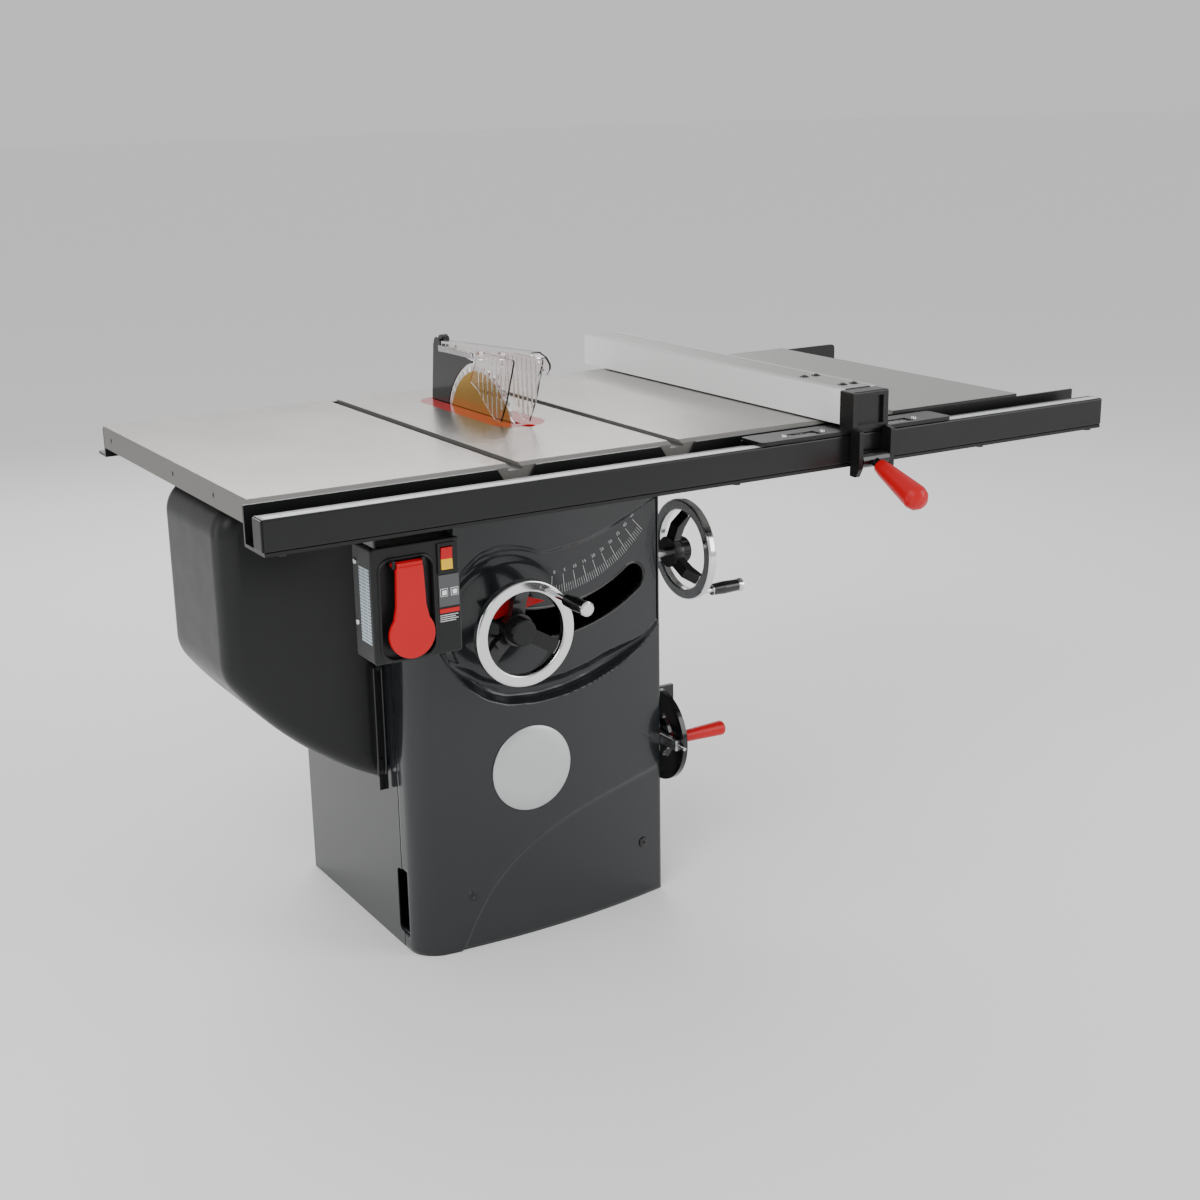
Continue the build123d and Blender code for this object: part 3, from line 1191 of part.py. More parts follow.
with BuildPart() as fence_faces:
    for x in (fence_left, tube_right):
        block((x, fence_front, fence_bottom), (x + face_thickness, fence_rear, fence_top))
fence_faces.part.label = "fence_faces"
export_step(fence_faces.part, "parts/fence_faces.step")

tee_bottom = tube_top + 1.5
tee_top = tee_bottom + tee_thickness
tee_rear = tube_front + tube_depth + 24.0
cheek_outer = fence_width / 2 + 1.0
cheek_inner = cheek_outer - 8.0
with BuildPart() as fence_head:
    block((tee_left, tube_front - 2, tee_bottom), (tee_right, tee_rear, tee_top))
    fillet(fence_head.edges().filter_by(Axis.Z), 8)
    block((tee_left, tee_rear - tee_thickness, tube_bottom + 9), (tee_right, tee_rear, tee_bottom + 1))
    for x in (tee_left + 30, tee_right - 60):
        block((x, tube_front + tube_depth + clear_gap, tube_bottom + 14), (x + 30, tee_rear - 1, tube_bottom + 34))
    for x in (tee_left + 68, tee_right - 130):
        block((x, tube_front + 6, tee_bottom - 1), (x + 56, tube_front + tube_depth - 2, tee_top + 1),
              mode=Mode.SUBTRACT)
    block((fence_middle - cheek_outer, tube_front - 8, tee_top), (fence_middle + cheek_outer, fence_front,
          fence_top - 1.5))
    fillet(fence_head.edges().group_by(Axis.Z)[-1], 3)
    block((fence_middle - cheek_outer + 10, tube_front - 9, tee_top + 8),
          (fence_middle + cheek_outer - 10, tube_front - 2, fence_top - 10), mode=Mode.SUBTRACT)
    for x in (fence_middle - cheek_outer, fence_middle + cheek_inner):
        slab(side_plane(x), ((tube_front - 3, lever_z - 26), (tube_front - 3, tee_top + 5),
                             (tube_front - 26, tee_top), (tube_front - 26, lever_z - 12),
                             (tube_front - 18, lever_z - 26)), 8, corner=2)
    bar((fence_middle - cheek_outer + 1, lever_y, lever_z), (1, 0, 0), 4, 2 * cheek_outer - 2)
fence_head.part.label = "fence_head"
export_step(fence_head.part, "parts/fence_head.step")

lever_reach = 22.0
lever_angle = 22.0          # below the horizontal, with the lever locked
lever_slope = (0, -cos(radians(lever_angle)), -sin(radians(lever_angle)))
with BuildPart() as fence_lever:
    bar((fence_middle - cheek_inner + 1, lever_y, lever_z), (1, 0, 0), 13, 2 * cheek_inner - 2)
    bar((fence_middle, lever_y, lever_z), lever_slope, 8, lever_reach)
    bar((fence_middle - cheek_inner, lever_y, lever_z), (1, 0, 0), 4 + running_gap, 2 * cheek_inner,
        mode=Mode.SUBTRACT)
fence_lever.part.label = "fence_lever"
export_step(fence_lever.part, "parts/fence_lever.step")

handle_length = 96.0
handle_radius = 21.0
handle_start = (fence_middle, lever_y + lever_reach * lever_slope[1], lever_z + lever_reach * lever_slope[2])
with BuildPart() as fence_handle:
    with Locations(Plane(origin=handle_start, x_dir=(1, 0, 0), z_dir=lever_slope)):
        add(turned_grip(((11.5, 0), (13.5, 12), (handle_radius - 1, handle_length - 14),
                         (handle_radius, handle_length - 2), (handle_radius - 2.5, handle_length + 8),
                         (handle_radius - 9, handle_length + 15), (0, handle_length + 18))))
fence_handle.part.label = "fence_handle"
export_step(fence_handle.part, "parts/fence_handle.step")

# ===== Switch =======================================================================

recess_depth = 8.0
box_face = box_front + recess_depth + box_wall + 5.0
recess_left = box_left + 14.0
recess_right = box_left + 96.0
paddle_x = (recess_left + recess_right) / 2
paddle_pivot_y = box_front - 6.0
paddle_pivot_z = box_top - 26.0
paddle_pin = 3.0
paddle_radius = 36.0
paddle_neck = 23.5
rocker_x = box_right - 23.0
rocker_z = box_top - 30.0
with BuildPart() as switch_box:
    block((box_left, box_front, box_bottom), (box_right, box_front + box_depth, box_top))
    fillet(switch_box.edges().filter_by(Axis.Y), 6)
    fillet(switch_box.edges().group_by(Axis.Y)[0], 4)
    block((box_left + box_wall, box_face, box_bottom + box_wall),
          (box_right - box_wall, box_front + box_depth + 1, box_top - box_wall), mode=Mode.SUBTRACT)
    with BuildSketch(front_plane(box_front + recess_depth)) as recess:
        with Locations((paddle_x, (box_bottom + box_top) / 2 - 11)):
            RectangleRounded(recess_right - recess_left, box_height - 22, 18)
    extrude(recess.sketch, amount=recess_depth + 1, mode=Mode.SUBTRACT)
    for x in (paddle_x - 26, paddle_x + 21):
        block((x, paddle_pivot_y - 5, paddle_pivot_z - 6), (x + 5, box_front + recess_depth, paddle_pivot_z + 6))
        bar((x - 1, paddle_pivot_y, paddle_pivot_z), (1, 0, 0), paddle_pin + running_gap, 7, mode=Mode.SUBTRACT)
    # raised surround of the power rocker, its pocket and the rocker's pivot bores
    block((rocker_x - 14, box_front - 3, rocker_z - 23), (rocker_x + 14, box_front + 1, rocker_z + 23))
    block((rocker_x - 9.6, box_front - 4, rocker_z - 18), (rocker_x + 9.6, box_front + 11, rocker_z + 18),
          mode=Mode.SUBTRACT)
    bar((rocker_x - 12, box_front + 3, rocker_z), (1, 0, 0), 2 + running_gap, 24, mode=Mode.SUBTRACT)
switch_box.part.label = "switch_box"
export_step(switch_box.part, "parts/switch_box.step")

with BuildPart() as switch_bracket:
    block((box_left + 6, box_front + 1, box_top), (box_right - 6, table_front - angle_thickness, foot_bottom))
    block((box_left + 9, box_front, box_top - 1), (box_right - 9, table_front, foot_bottom - 3),
          mode=Mode.SUBTRACT)
switch_bracket.part.label = "switch_bracket"
export_step(switch_bracket.part, "parts/switch_bracket.step")

paddle_front = box_front - 16.0
with BuildPart() as stop_paddle:
    with BuildSketch(front_plane(paddle_front + 8)) as outline:
        with Locations((paddle_x, box_bottom + 7 + paddle_radius)):
            Circle(paddle_radius)
        with BuildLine():
            Polyline((paddle_x - 21, paddle_pivot_z - 3), (paddle_x + 21, paddle_pivot_z - 3),
                     (paddle_x + paddle_neck, box_bottom + 86), (paddle_x + paddle_radius - 6, box_bottom + 56),
                     (paddle_x - paddle_radius + 6, box_bottom + 56), (paddle_x - paddle_neck, box_bottom + 86),
                     (paddle_x - 21, paddle_pivot_z - 3))
        make_face()
        fillet(outline.vertices().group_by(Axis.Y)[-1], 5)
    extrude(outline.sketch, amount=8)
    fillet(stop_paddle.edges().group_by(Axis.Y)[0], 2.5)
    bar((paddle_x - 26, paddle_pivot_y, paddle_pivot_z), (1, 0, 0), paddle_pin, 52)
    block((paddle_x - 20, paddle_front + 2, paddle_pivot_z - 12),
          (paddle_x + 20, paddle_pivot_y + 1, paddle_pivot_z + 2))
stop_paddle.part.label = "stop_paddle"
export_step(stop_paddle.part, "parts/stop_paddle.step")

with BuildPart() as power_rocker:
    slab(side_plane(rocker_x - 9),
         ((box_front + 5, rocker_z - 16.4), (box_front + 5, rocker_z + 16.4), (box_front - 5, rocker_z + 16.4),
          (box_front - 3.6, rocker_z), (box_front - 5, rocker_z - 16.4)), 18)
    bar((rocker_x - 12, box_front + 3, rocker_z), (1, 0, 0), 2, 24)
power_rocker.part.label = "power_rocker"
export_step(power_rocker.part, "parts/power_rocker.step")

# ===== Stored mitre gauge ===========================================================

bar_right = gauge_bar_x + gauge_bar_thickness
hook_gap = 0.2
with BuildPart() as storage_hooks:
    for y in (gauge_y + 136, gauge_y + 316):
        floor = gauge_z - gauge_bar_width / 2 - hook_gap
        block((cabinet_right, y, floor - 10), (cabinet_right + 3, y + 16, gauge_z + 20))
        block((cabinet_right, y, floor - 3), (bar_right + 5.5, y + 16, floor))
        block((bar_right + 2.5, y, floor - 3), (bar_right + 5.5, y + 16, gauge_z + 3))
storage_hooks.part.label = "storage_hooks"
export_step(storage_hooks.part, "parts/storage_hooks.step")

handle_offset = 40.0        # the locking handle's stud from the head's pivot
head_left = bar_right + 0.3
pivot_radius = 5.0
with BuildPart() as mitre_bar:
    block((gauge_bar_x, gauge_bar_front, gauge_z - gauge_bar_width / 2),
          (bar_right, gauge_bar_rear, gauge_z + gauge_bar_width / 2))
    chamfer(mitre_bar.edges().filter_by(Axis.Y), 0.6)
    bar((gauge_bar_x + gauge_bar_thickness / 2, gauge_bar_front, gauge_z), (0, -1, 0), 3, 22)
    for y in (gauge_y, gauge_y - handle_offset):
        bar((gauge_bar_x + 3, y, gauge_z), (1, 0, 0), pivot_radius + running_gap, gauge_bar_thickness,
            mode=Mode.SUBTRACT)
mitre_bar.part.label = "mitre_bar"
export_step(mitre_bar.part, "parts/mitre_bar.step")

head_right = head_left + 9.2
with BuildPart() as mitre_head:
    with BuildSketch(side_plane(head_left + 3.2)) as disc:
        with Locations((gauge_y, gauge_z)):
            Circle(gauge_radius)
        with Locations((gauge_y + 100, gauge_z)):
            Rectangle(200, 400, mode=Mode.SUBTRACT)
        with BuildLine():
            sweep_line = CenterArc((gauge_y, gauge_z), handle_offset, 117, 126)
        SlotArc(sweep_line.edge(), 2 * pivot_radius + 2, mode=Mode.SUBTRACT)
    extrude(disc.sketch, amount=6)
    with BuildSketch(side_plane(head_left)) as rim:
        with Locations((gauge_y, gauge_z)):
            Circle(gauge_radius)
            Circle(gauge_radius - 8, mode=Mode.SUBTRACT)
        with Locations((gauge_y + 100, gauge_z)):
            Rectangle(200, 400, mode=Mode.SUBTRACT)
    extrude(rim.sketch, amount=9.2)
    block((head_left, gauge_y, gauge_z - gauge_fence / 2), (head_left + 35, gauge_y + 8, gauge_z + gauge_fence / 2))
    bar((head_left, gauge_y, gauge_z), (1, 0, 0), 14, 14)
    bar((gauge_bar_x + 3.2, gauge_y, gauge_z), (1, 0, 0), pivot_radius, gauge_bar_thickness)
mitre_head.part.label = "mitre_head"
export_step(mitre_head.part, "parts/mitre_head.step")

grip_length = 90.0
with BuildPart() as mitre_handle:
    bar((gauge_bar_x + 3.2, gauge_y - handle_offset, gauge_z), (1, 0, 0), pivot_radius,
        head_right - gauge_bar_x - 3)
    bar((head_right + 0.2, gauge_y - handle_offset, gauge_z), (1, 0, 0), 11, 16)
    with Locations(Plane(origin=(head_right + 16, gauge_y - handle_offset, gauge_z), z_dir=(1, 0, 0))):
        Cone(10.5, 13.5, grip_length, align=(Align.CENTER, Align.CENTER, Align.MIN))
    fillet(mitre_handle.edges().group_by(Axis.X)[-1], 7)
mitre_handle.part.label = "mitre_handle"
export_step(mitre_handle.part, "parts/mitre_handle.step")
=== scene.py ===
# %% [markdown]
# # Table saw: the look
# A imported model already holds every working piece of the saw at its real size, in metres. This
# lesson loads it into Blender and adds what a drawing of solids leaves out: camera, light,
# finishes, the pressed form of the cabinet's front, and thin print and trim. It could all be
# modelled by hand in the viewport, but written as code it can be read, measured and run again.

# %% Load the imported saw
from math import cos, pi, radians, sin

import bpy
import numpy as np
from mathutils import Matrix, Vector


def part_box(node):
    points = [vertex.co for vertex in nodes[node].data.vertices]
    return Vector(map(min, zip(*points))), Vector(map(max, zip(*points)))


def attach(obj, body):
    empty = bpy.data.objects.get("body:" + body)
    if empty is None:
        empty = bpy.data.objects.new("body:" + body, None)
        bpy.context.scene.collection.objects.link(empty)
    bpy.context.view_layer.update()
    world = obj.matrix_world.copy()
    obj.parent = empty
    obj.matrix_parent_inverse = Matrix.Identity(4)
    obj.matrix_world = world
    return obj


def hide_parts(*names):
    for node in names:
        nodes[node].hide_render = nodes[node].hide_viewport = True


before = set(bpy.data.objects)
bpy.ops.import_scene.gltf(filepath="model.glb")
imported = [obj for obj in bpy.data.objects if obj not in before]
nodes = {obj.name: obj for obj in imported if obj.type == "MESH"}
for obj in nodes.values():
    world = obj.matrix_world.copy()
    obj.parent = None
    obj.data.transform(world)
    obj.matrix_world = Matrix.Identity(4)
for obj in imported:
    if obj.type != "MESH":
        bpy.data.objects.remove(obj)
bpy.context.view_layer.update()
print("working pieces:", len(nodes))

# %% [markdown]
# ## Places taken from the saw
# On a cabinet saw the blade, motor and front handwheel all tilt about one line, which lies in the
# table's top along the blade. The front wheel's shaft swings along a curved slot in the cabinet,
# so the slot, the scale beside it and the shaft are arcs about that line. The places could be
# typed in one by one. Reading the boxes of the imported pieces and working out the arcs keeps
# every piece of trim on its neighbour.

# %% Tilt axis, shafts and cabinet front
TABLE_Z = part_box("main_table")[1][2]
TILT_X = 0.0197
SLOT_RADIUS, SLOT_HALF = 0.316, 0.025
SLOT_ENDS = np.radians([-19.3, 31.7])
SHAFT_ANGLE = radians(-16.3)
PANEL_LEFT, PANEL_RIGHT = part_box("front_panel")[0][0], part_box("front_panel")[1][0]
PANEL_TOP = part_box("front_panel")[1][2]


def around_tilt(radius, angle):
    """X and Z on an arc about the tilt axis, with the angle measured from straight down: x is the
    axis plus radius times sine, and z is the table's top less radius times cosine."""
    return TILT_X + radius * np.sin(angle), TABLE_Z - radius * np.cos(angle)


lift_x, lift_z = map(float, around_tilt(SLOT_RADIUS, SHAFT_ANGLE))
LIFT = Vector((lift_x, -0.300, lift_z))
SIDE = Vector((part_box("tilt_wheel")[1][0], -0.184, TABLE_Z - 0.244))
BLADE = Vector((TILT_X, 0.0013, TABLE_Z - 0.046))
print("front wheel at", [round(v, 4) for v in LIFT], "side wheel at", [round(v, 4) for v in SIDE])

# %% [markdown]
# ## Camera
# A product picture is taken from a little above the table, with a medium lens, so that the long
# rail doesn't flare. The camera could be aimed by angles. Here it gets its three own directions,
# right, up and ahead, as the columns of its matrix, which leaves no doubt about roll. Depth of
# field stays off.

# %% Camera
camera_data = bpy.data.cameras.new("camera")
camera_data.lens = 54.56
camera_data.sensor_width = 36.0
camera_data.shift_x = 0.0217
camera_data.shift_y = 0.0177
camera_data.clip_end = 50.0
camera = bpy.data.objects.new("camera", camera_data)
bpy.context.scene.collection.objects.link(camera)
right = Vector((0.8608, -0.5085, -0.0203)).normalized()
ahead = Vector((0.4817, 0.8269, -0.2901)).normalized()
turned = Matrix((right, right.cross(ahead), -ahead)).transposed().to_4x4()
camera.matrix_world = Matrix.Translation((-1.4029, -2.7404, 1.4236)) @ turned
bpy.context.scene.camera = camera
print("camera at", [round(v, 3) for v in camera.matrix_world.translation])

# %% [markdown]
# ## Soft studio light
# Dark paint and ground iron show their shape by what they mirror. Small lamps would leave hard
# dots on them, and a world light alone leaves them flat. Four large rectangles give long soft
# bands, and an even white world fills the rest.


# %% Lamps and world
def link(obj):
    """Put an object in the scene."""
    bpy.context.scene.collection.objects.link(obj)
    return obj


def area_light(name, place, target, size, power):
    """A rectangular lamp at a place, turned so that its own minus Z points at the target."""
    data = bpy.data.lights.new(name, "AREA")
    data.shape = "RECTANGLE"
    data.size, data.size_y = size
    data.energy = power
    lamp = link(bpy.data.objects.new(name, data))
    lamp.location = place
    aim = Vector(target) - Vector(place)
    lamp.rotation_euler = aim.to_track_quat("-Z", "Y").to_euler()
    print("lamp %s: %d W" % (name, power))


area_light("key", (-2.6, -2.4, 3.2), (0.0, 0.0, 0.7), (2.6, 1.8), 95)
area_light("fill", (2.6, -2.8, 1.8), (0.2, 0.0, 0.5), (1.6, 2.4), 45)
area_light("back", (0.8, 3.2, 2.6), (0.1, 0.0, 0.8), (3.4, 1.4), 70)
area_light("side", (-3.2, 0.6, 1.2), (-0.2, 0.0, 0.5), (0.8, 2.2), 12)
world = bpy.data.worlds.new("studio")
world.use_nodes = True
sky = world.node_tree.nodes["Background"].inputs
sky["Color"].default_value = (1.0, 1.0, 1.0, 1.0)
sky["Strength"].default_value = 0.72
bpy.context.scene.world = world


# %% [markdown]
# ## Arithmetic on shader values
# A finish such as chrome on the rim and black on the spokes is a small formula on a point's
# place. Such formulas could be wired from Math nodes one at a time, which is slow to read. `Wire`
# holds one output of a node and takes plus, minus, times and comparisons, so that the formula
# is written as Python and the nodes appear by themselves.


# %% A shader value that takes arithmetic
class Wire:
    """A node's output: every operation on it adds one Math node and gives back its output."""

    def __init__(self, paint, socket):
        self.paint = paint
        self.socket = socket

    def math(self, operation, *values):
        """The named Math operation on these values, in their order."""
        return self.paint.node("ShaderNodeMath", {"operation": operation}, dict(enumerate(values)))

    def __add__(self, other):
        return self.math("ADD", self, other)

    def __sub__(self, other):
        return self.math("SUBTRACT", self, other)

    def __rsub__(self, other):
        return self.math("SUBTRACT", other, self)

    def __mul__(self, other):
        return self.math("MULTIPLY", self, other)

    def __gt__(self, other):
        return self.math("GREATER_THAN", self, other)

    def __lt__(self, other):
        return self.math("LESS_THAN", self, other)

    def either(self, other):
        """The larger of two masks: 1 where one of them is 1."""
        return self.math("MAXIMUM", self, other)

    def root(self):
        """The square root."""
        return self.math("SQRT", self)

    def repeat(self, pitch):
        """Rises from 0 to 1 along each pitch, again and again: the fraction of value / pitch."""
        along = self * (1 / pitch)
        return along.math("FRACT", along)

    __radd__ = __add__
    __rmul__ = __mul__


def distance(a, b):
    """Length of the two-part vector (a, b): the root of the sum of the squares."""
    return (a * a + b * b).root()


# %% [markdown]
# ## A finish with grain
# Real paint, plastic and iron are never one flat colour. Each has soft clouds of slightly
# lighter and darker tone, a roughness that wanders with them, and a fine grain that a low light
# picks out. Pictures could carry all this, but they need a layout and a fixed size. Noise in
# object coordinates works at any size and stays put on the piece when the piece moves.


# %% One finish on a Principled shader
class Paint:
    """A finish on one Principled shader, built up in object coordinates."""

    def __init__(self, name, color, roughness, metallic=0.0, coat=0.0, grain=0.0,
                 grain_scale=400.0, mottle=0.06, mottle_scale=9.0, stretch=(1.0, 1.0, 1.0),
                 shine=0.5):
        """Colour times 1 less and 1 plus the mottle, mixed by cloudy noise; roughness times 0.85
        to 1.15 by finer noise; and a bump of fine noise, which also shifts the roughness."""
        self.material = bpy.data.materials.new(name)
        self.material.use_nodes = True
        self.tree = self.material.node_tree
        self.shader = self.tree.nodes["Principled BSDF"]
        self.metallic = metallic
        for socket, value in (("Metallic", metallic), ("Coat Weight", coat),
                              ("Coat Roughness", 0.06), ("Specular IOR Level", shine)):
            self.shader.inputs[socket].default_value = value
        self.place = self.node("ShaderNodeTexCoord", {}, {}, "Object")
        split = self.node("ShaderNodeSeparateXYZ", {}, {0: self.place})
        self.x, self.y, self.z = (Wire(self, out) for out in split.socket.node.outputs)
        darker = tuple(c * (1 - mottle) for c in color)
        lighter = tuple(min(1.0, c * (1 + mottle)) for c in color)
        self.color = self.mix(self.noise(mottle_scale, 4.0), darker, lighter)
        self.rough = roughness * (0.85 + 0.3 * self.noise(mottle_scale * 3, 3.0))
        if grain > 0:
            fine = self.noise(grain_scale, 3.0, stretch)
            bump = self.node("ShaderNodeBump", {},
                             {"Strength": grain, "Distance": 0.0004, "Height": fine})
            self.feed(bump, "Normal")
            self.rough = self.rough + (fine - 0.5) * (roughness * 0.3)
        self.plug()

    def node(self, kind, settings, inputs, output=None):
        """One node of a kind: its settings are made first, then each socket is filled or linked.
        Gives back the named output, or else the first one in use."""
        made = self.tree.nodes.new(kind)
        for name, value in settings.items():
            setattr(made, name, value)
        for name, value in inputs.items():
            if isinstance(value, Wire):
                self.tree.links.new(value.socket, made.inputs[name])
            else:
                made.inputs[name].default_value = value
        if output:
            return Wire(self, made.outputs[output])
        return Wire(self, next(out for out in made.outputs if out.enabled))

    def feed(self, wire, socket):
        """Link a value to one of the shader's own sockets."""
        self.tree.links.new(wire.socket, self.shader.inputs[socket])

    def plug(self):
        """Link the colour and roughness as they now stand."""
        self.feed(self.color, "Base Color")
        self.feed(self.rough, "Roughness")

    def noise(self, scale, detail, stretch=(1.0, 1.0, 1.0)):
        """Cloudy noise from 0 to 1, with the place first multiplied by the stretch."""
        spread = self.node("ShaderNodeMapping", {}, {"Vector": self.place, "Scale": stretch})
        return self.node("ShaderNodeTexNoise", {},
                         {"Vector": spread, "Scale": scale, "Detail": detail})

    def mix(self, factor, first, second):
        """The first colour where the factor is 0, the second where it is 1."""
        ends = [(*value, 1.0) if isinstance(value, tuple) else value for value in (first, second)]
        return self.node("ShaderNodeMix", {"data_type": "RGBA"},
                         {0: factor, 6: ends[0], 7: ends[1]})

    def tint(self, mask, color, roughness=None, metallic=None):
        """Where the mask is 1 the paint takes another colour, roughness and metal: each is the
        old value times 1 less the mask, plus the new value times the mask."""
        self.color = self.mix(mask, self.color, color)
        if roughness is not None:
            self.rough = self.rough * (1 - mask) + mask * roughness
        if metallic is not None:
            self.feed(mask * (metallic - self.metallic) + self.metallic, "Metallic")
        self.plug()
        return self


def tell(*paints):
    """Print each finish with the number of its nodes."""
    print("finishes:", ", ".join("%s (%d nodes)" % (paint.material.name, len(paint.tree.nodes))
                                 for paint in paints))


# %% [markdown]
# ## Paint and black plastic
# The cabinet has smooth charcoal powder coat under a little clear gloss. The rails and the fence
# are a slightly rougher black, and the motor cover and switch box are moulded plastic, whose
# grain is coarser and stronger. One black for all of them would make the saw one lump. Small
# differences of tone, gloss and grain part the pieces. The fence's bare top is a lighter band,
# picked out by height.

# %% Charcoal, blacks and the fence
charcoal = Paint("charcoal_paint", (0.0125, 0.0145, 0.0165), 0.24, coat=0.35, grain=0.04,
                 grain_scale=700, mottle=0.05, shine=0.35)
black_plastic = Paint("black_plastic", (0.007, 0.0075, 0.008), 0.36, grain=0.16,
                      grain_scale=1300, shine=0.35)
black_gloss = Paint("black_gloss", (0.005, 0.005, 0.0055), 0.16, coat=0.3, grain=0.03,
                    grain_scale=200, shine=0.4)
RAIL_COLOR = (0.006, 0.0063, 0.0066)
rail_black = Paint("rail_black", RAIL_COLOR, 0.32, coat=0.1, grain=0.10, grain_scale=900,
                   shine=0.35)
fence_paint = Paint("fence_paint", RAIL_COLOR, 0.32, grain=0.10, grain_scale=900, shine=0.35)
fence_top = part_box("fence_tube")[1][2]
fence_paint.tint(fence_paint.z > fence_top - 0.0008, (0.30, 0.295, 0.285), 0.42)
tell(charcoal, black_plastic, black_gloss, rail_black, fence_paint)

# %% [markdown]
# ## Iron and steel
# The table and wings are cast iron. Their tops are ground bright, with fine scratches that run
# from left to right, and their sides are duller and partly bare casting. Two materials could
# meet at the edge, but one finish with a mask on height needs no seam. Noise squeezed along one
# axis gives the scratches.

# %% Ground iron, grey casting and bright steel
iron = Paint("ground_iron", (0.33, 0.315, 0.295), 0.24, metallic=0.85, grain=0.14,
             grain_scale=200, mottle=0.035, mottle_scale=2.5, stretch=(0.15, 7.0, 1.0))
ground_depth, side_depth = 0.0006, 0.045
iron_side = (iron.z < TABLE_Z - ground_depth) * (iron.z > TABLE_Z - side_depth)
iron.tint(iron_side, (0.17, 0.165, 0.155), 0.55, 0.35)
casting = Paint("grey_casting", (0.11, 0.115, 0.12), 0.62, metallic=0.2, grain=0.6,
                grain_scale=330)
steel = Paint("bright_steel", (0.56, 0.56, 0.57), 0.25, metallic=1.0, grain=0.12,
              grain_scale=500, stretch=(1.0, 1.0, 8.0))
tell(iron, casting, steel)

# %% [markdown]
# ## Side board and fence faces
# The board beside the right wing is grey laminate with a dark band glued along its edges, and
# the fence faces are white laminate on board whose cut top shows grey. Thin strips could be laid
# on them. A mask within a millimetre or so of the piece's own box gives the same line for less.

# %% Laminates
laminate = Paint("grey_laminate", (0.26, 0.26, 0.25), 0.38, grain=0.15, grain_scale=900,
                 mottle=0.05, mottle_scale=40)
board_low, board_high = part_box("extension_table")
BAND = 0.0015
edge_band = (laminate.x > board_high[0] - BAND).either(laminate.y < board_low[1] + BAND)
laminate.tint(edge_band.either(laminate.y > board_high[1] - BAND), (0.02, 0.02, 0.021), 0.45)
white_face = Paint("white_face", (0.86, 0.87, 0.87), 0.26, grain=0.05, grain_scale=500,
                   mottle=0.02)
face_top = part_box("fence_faces")[1][2]
white_face.tint(white_face.z > face_top - 0.0006, (0.42, 0.42, 0.42), 0.5)
tell(laminate, white_face)

# %% [markdown]
# ## Red pieces, belt and rocker
# Red marks what the hand or the eye must find: the insert round the blade, handles and stop
# paddle. The insert is glossy and the grips are moulded. The belt is black rubber whose ribs run
# along it, drawn as a repeat across its width: darker, rougher stripes, whose darker colour is
# painted shade in the grooves between the ribs. The rocker is red above its middle and amber
# below.

# %% Reds, rubber and the two-colour rocker
RED = (0.52, 0.002, 0.006)
red_gloss = Paint("red_gloss", (0.50, 0.002, 0.005), 0.18, coat=0.3, grain=0.04,
                  grain_scale=120, shine=0.4)
red_plastic = Paint("red_plastic", RED, 0.34, grain=0.08, grain_scale=900, shine=0.35)
rubber = Paint("belt_rubber", (0.012, 0.012, 0.012), 0.75, grain=0.4, grain_scale=800)
RIB_PITCH = 1 / 280
# The darker stripes are painted shade for the grooves between the ribs; the higher roughness is the
# rubber's own.
rubber.tint(rubber.x.repeat(RIB_PITCH) > 0.7, (0.006, 0.006, 0.006), 0.9)
rocker = Paint("rocker_plastic", RED, 0.3, grain=0.05, grain_scale=900, shine=0.35)
rocker_low, rocker_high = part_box("power_rocker")
rocker_middle = (rocker_low[2] + rocker_high[2]) / 2
rocker.tint(rocker.z < rocker_middle - 0.001, (0.78, 0.48, 0.02), 0.3)
tell(red_gloss, red_plastic, rubber, rocker)

# %% [markdown]
# ## Blade
# A blade's plate has a gold coating, and its ground rim with the teeth and its clamped middle are
# bare. Three rings of metal could be three pieces. Distance from the arbor, in the plane of the
# blade, splits one piece into the rings exactly.

# %% Blade finish by distance from the arbor
blade_gold = Paint("blade_steel", (0.52, 0.30, 0.055), 0.26, metallic=0.9, grain=0.15,
                   grain_scale=600)
RIM_FROM, FLANGE_TO = 0.1175, 0.028
from_arbor = distance(blade_gold.y - BLADE.y, blade_gold.z - BLADE.z)
blade_gold.tint(from_arbor > RIM_FROM, (0.72, 0.70, 0.66), 0.30, 1.0)
blade_gold.tint(from_arbor < FLANGE_TO, (0.55, 0.55, 0.56), 0.30, 1.0)
tell(blade_gold)


# %% [markdown]
# ## Handwheels and cranks
# Each wheel is one casting: the rim's face is chromed, and the spokes and hub stay black. Its
# crank is a black grip between a bright stem and a bright end disc. The two wheels face
# different ways, so one function for each finish takes the wheel's centre and whether its axis
# runs along X. Distance from the axis splits the rim, and depth along the axis splits its face
# from its back.


# %% Wheel and crank finishes
def wheel_paint(name, centre, across_x):
    """Chrome where the distance from the wheel's axis is past the spokes and the point is on the
    outer side of the rim; black elsewhere."""
    paint = Paint(name, (0.006, 0.006, 0.0065), 0.22, coat=0.3, grain=0.05, grain_scale=500)
    side = paint.y - centre.y if across_x else paint.x - centre.x
    out = distance(side, paint.z - centre.z)
    face = paint.x > centre.x - 0.0165 if across_x else paint.y < centre.y + 0.0155
    return paint.tint((out > 0.0685) * face, (0.78, 0.78, 0.79), 0.13, 1.0)


def crank_paint(name, centre, across_x):
    """Bright before the grip starts and after it ends, by distance along the crank's axis from
    the wheel's centre; black between."""
    paint = Paint(name, (0.006, 0.006, 0.0065), 0.25, coat=0.2, grain=0.05, grain_scale=600)
    along = paint.x - centre.x if across_x else paint.y * -1.0 + centre.y
    return paint.tint((along < 0.036).either(along > 0.0895), (0.75, 0.75, 0.76), 0.16, 1.0)


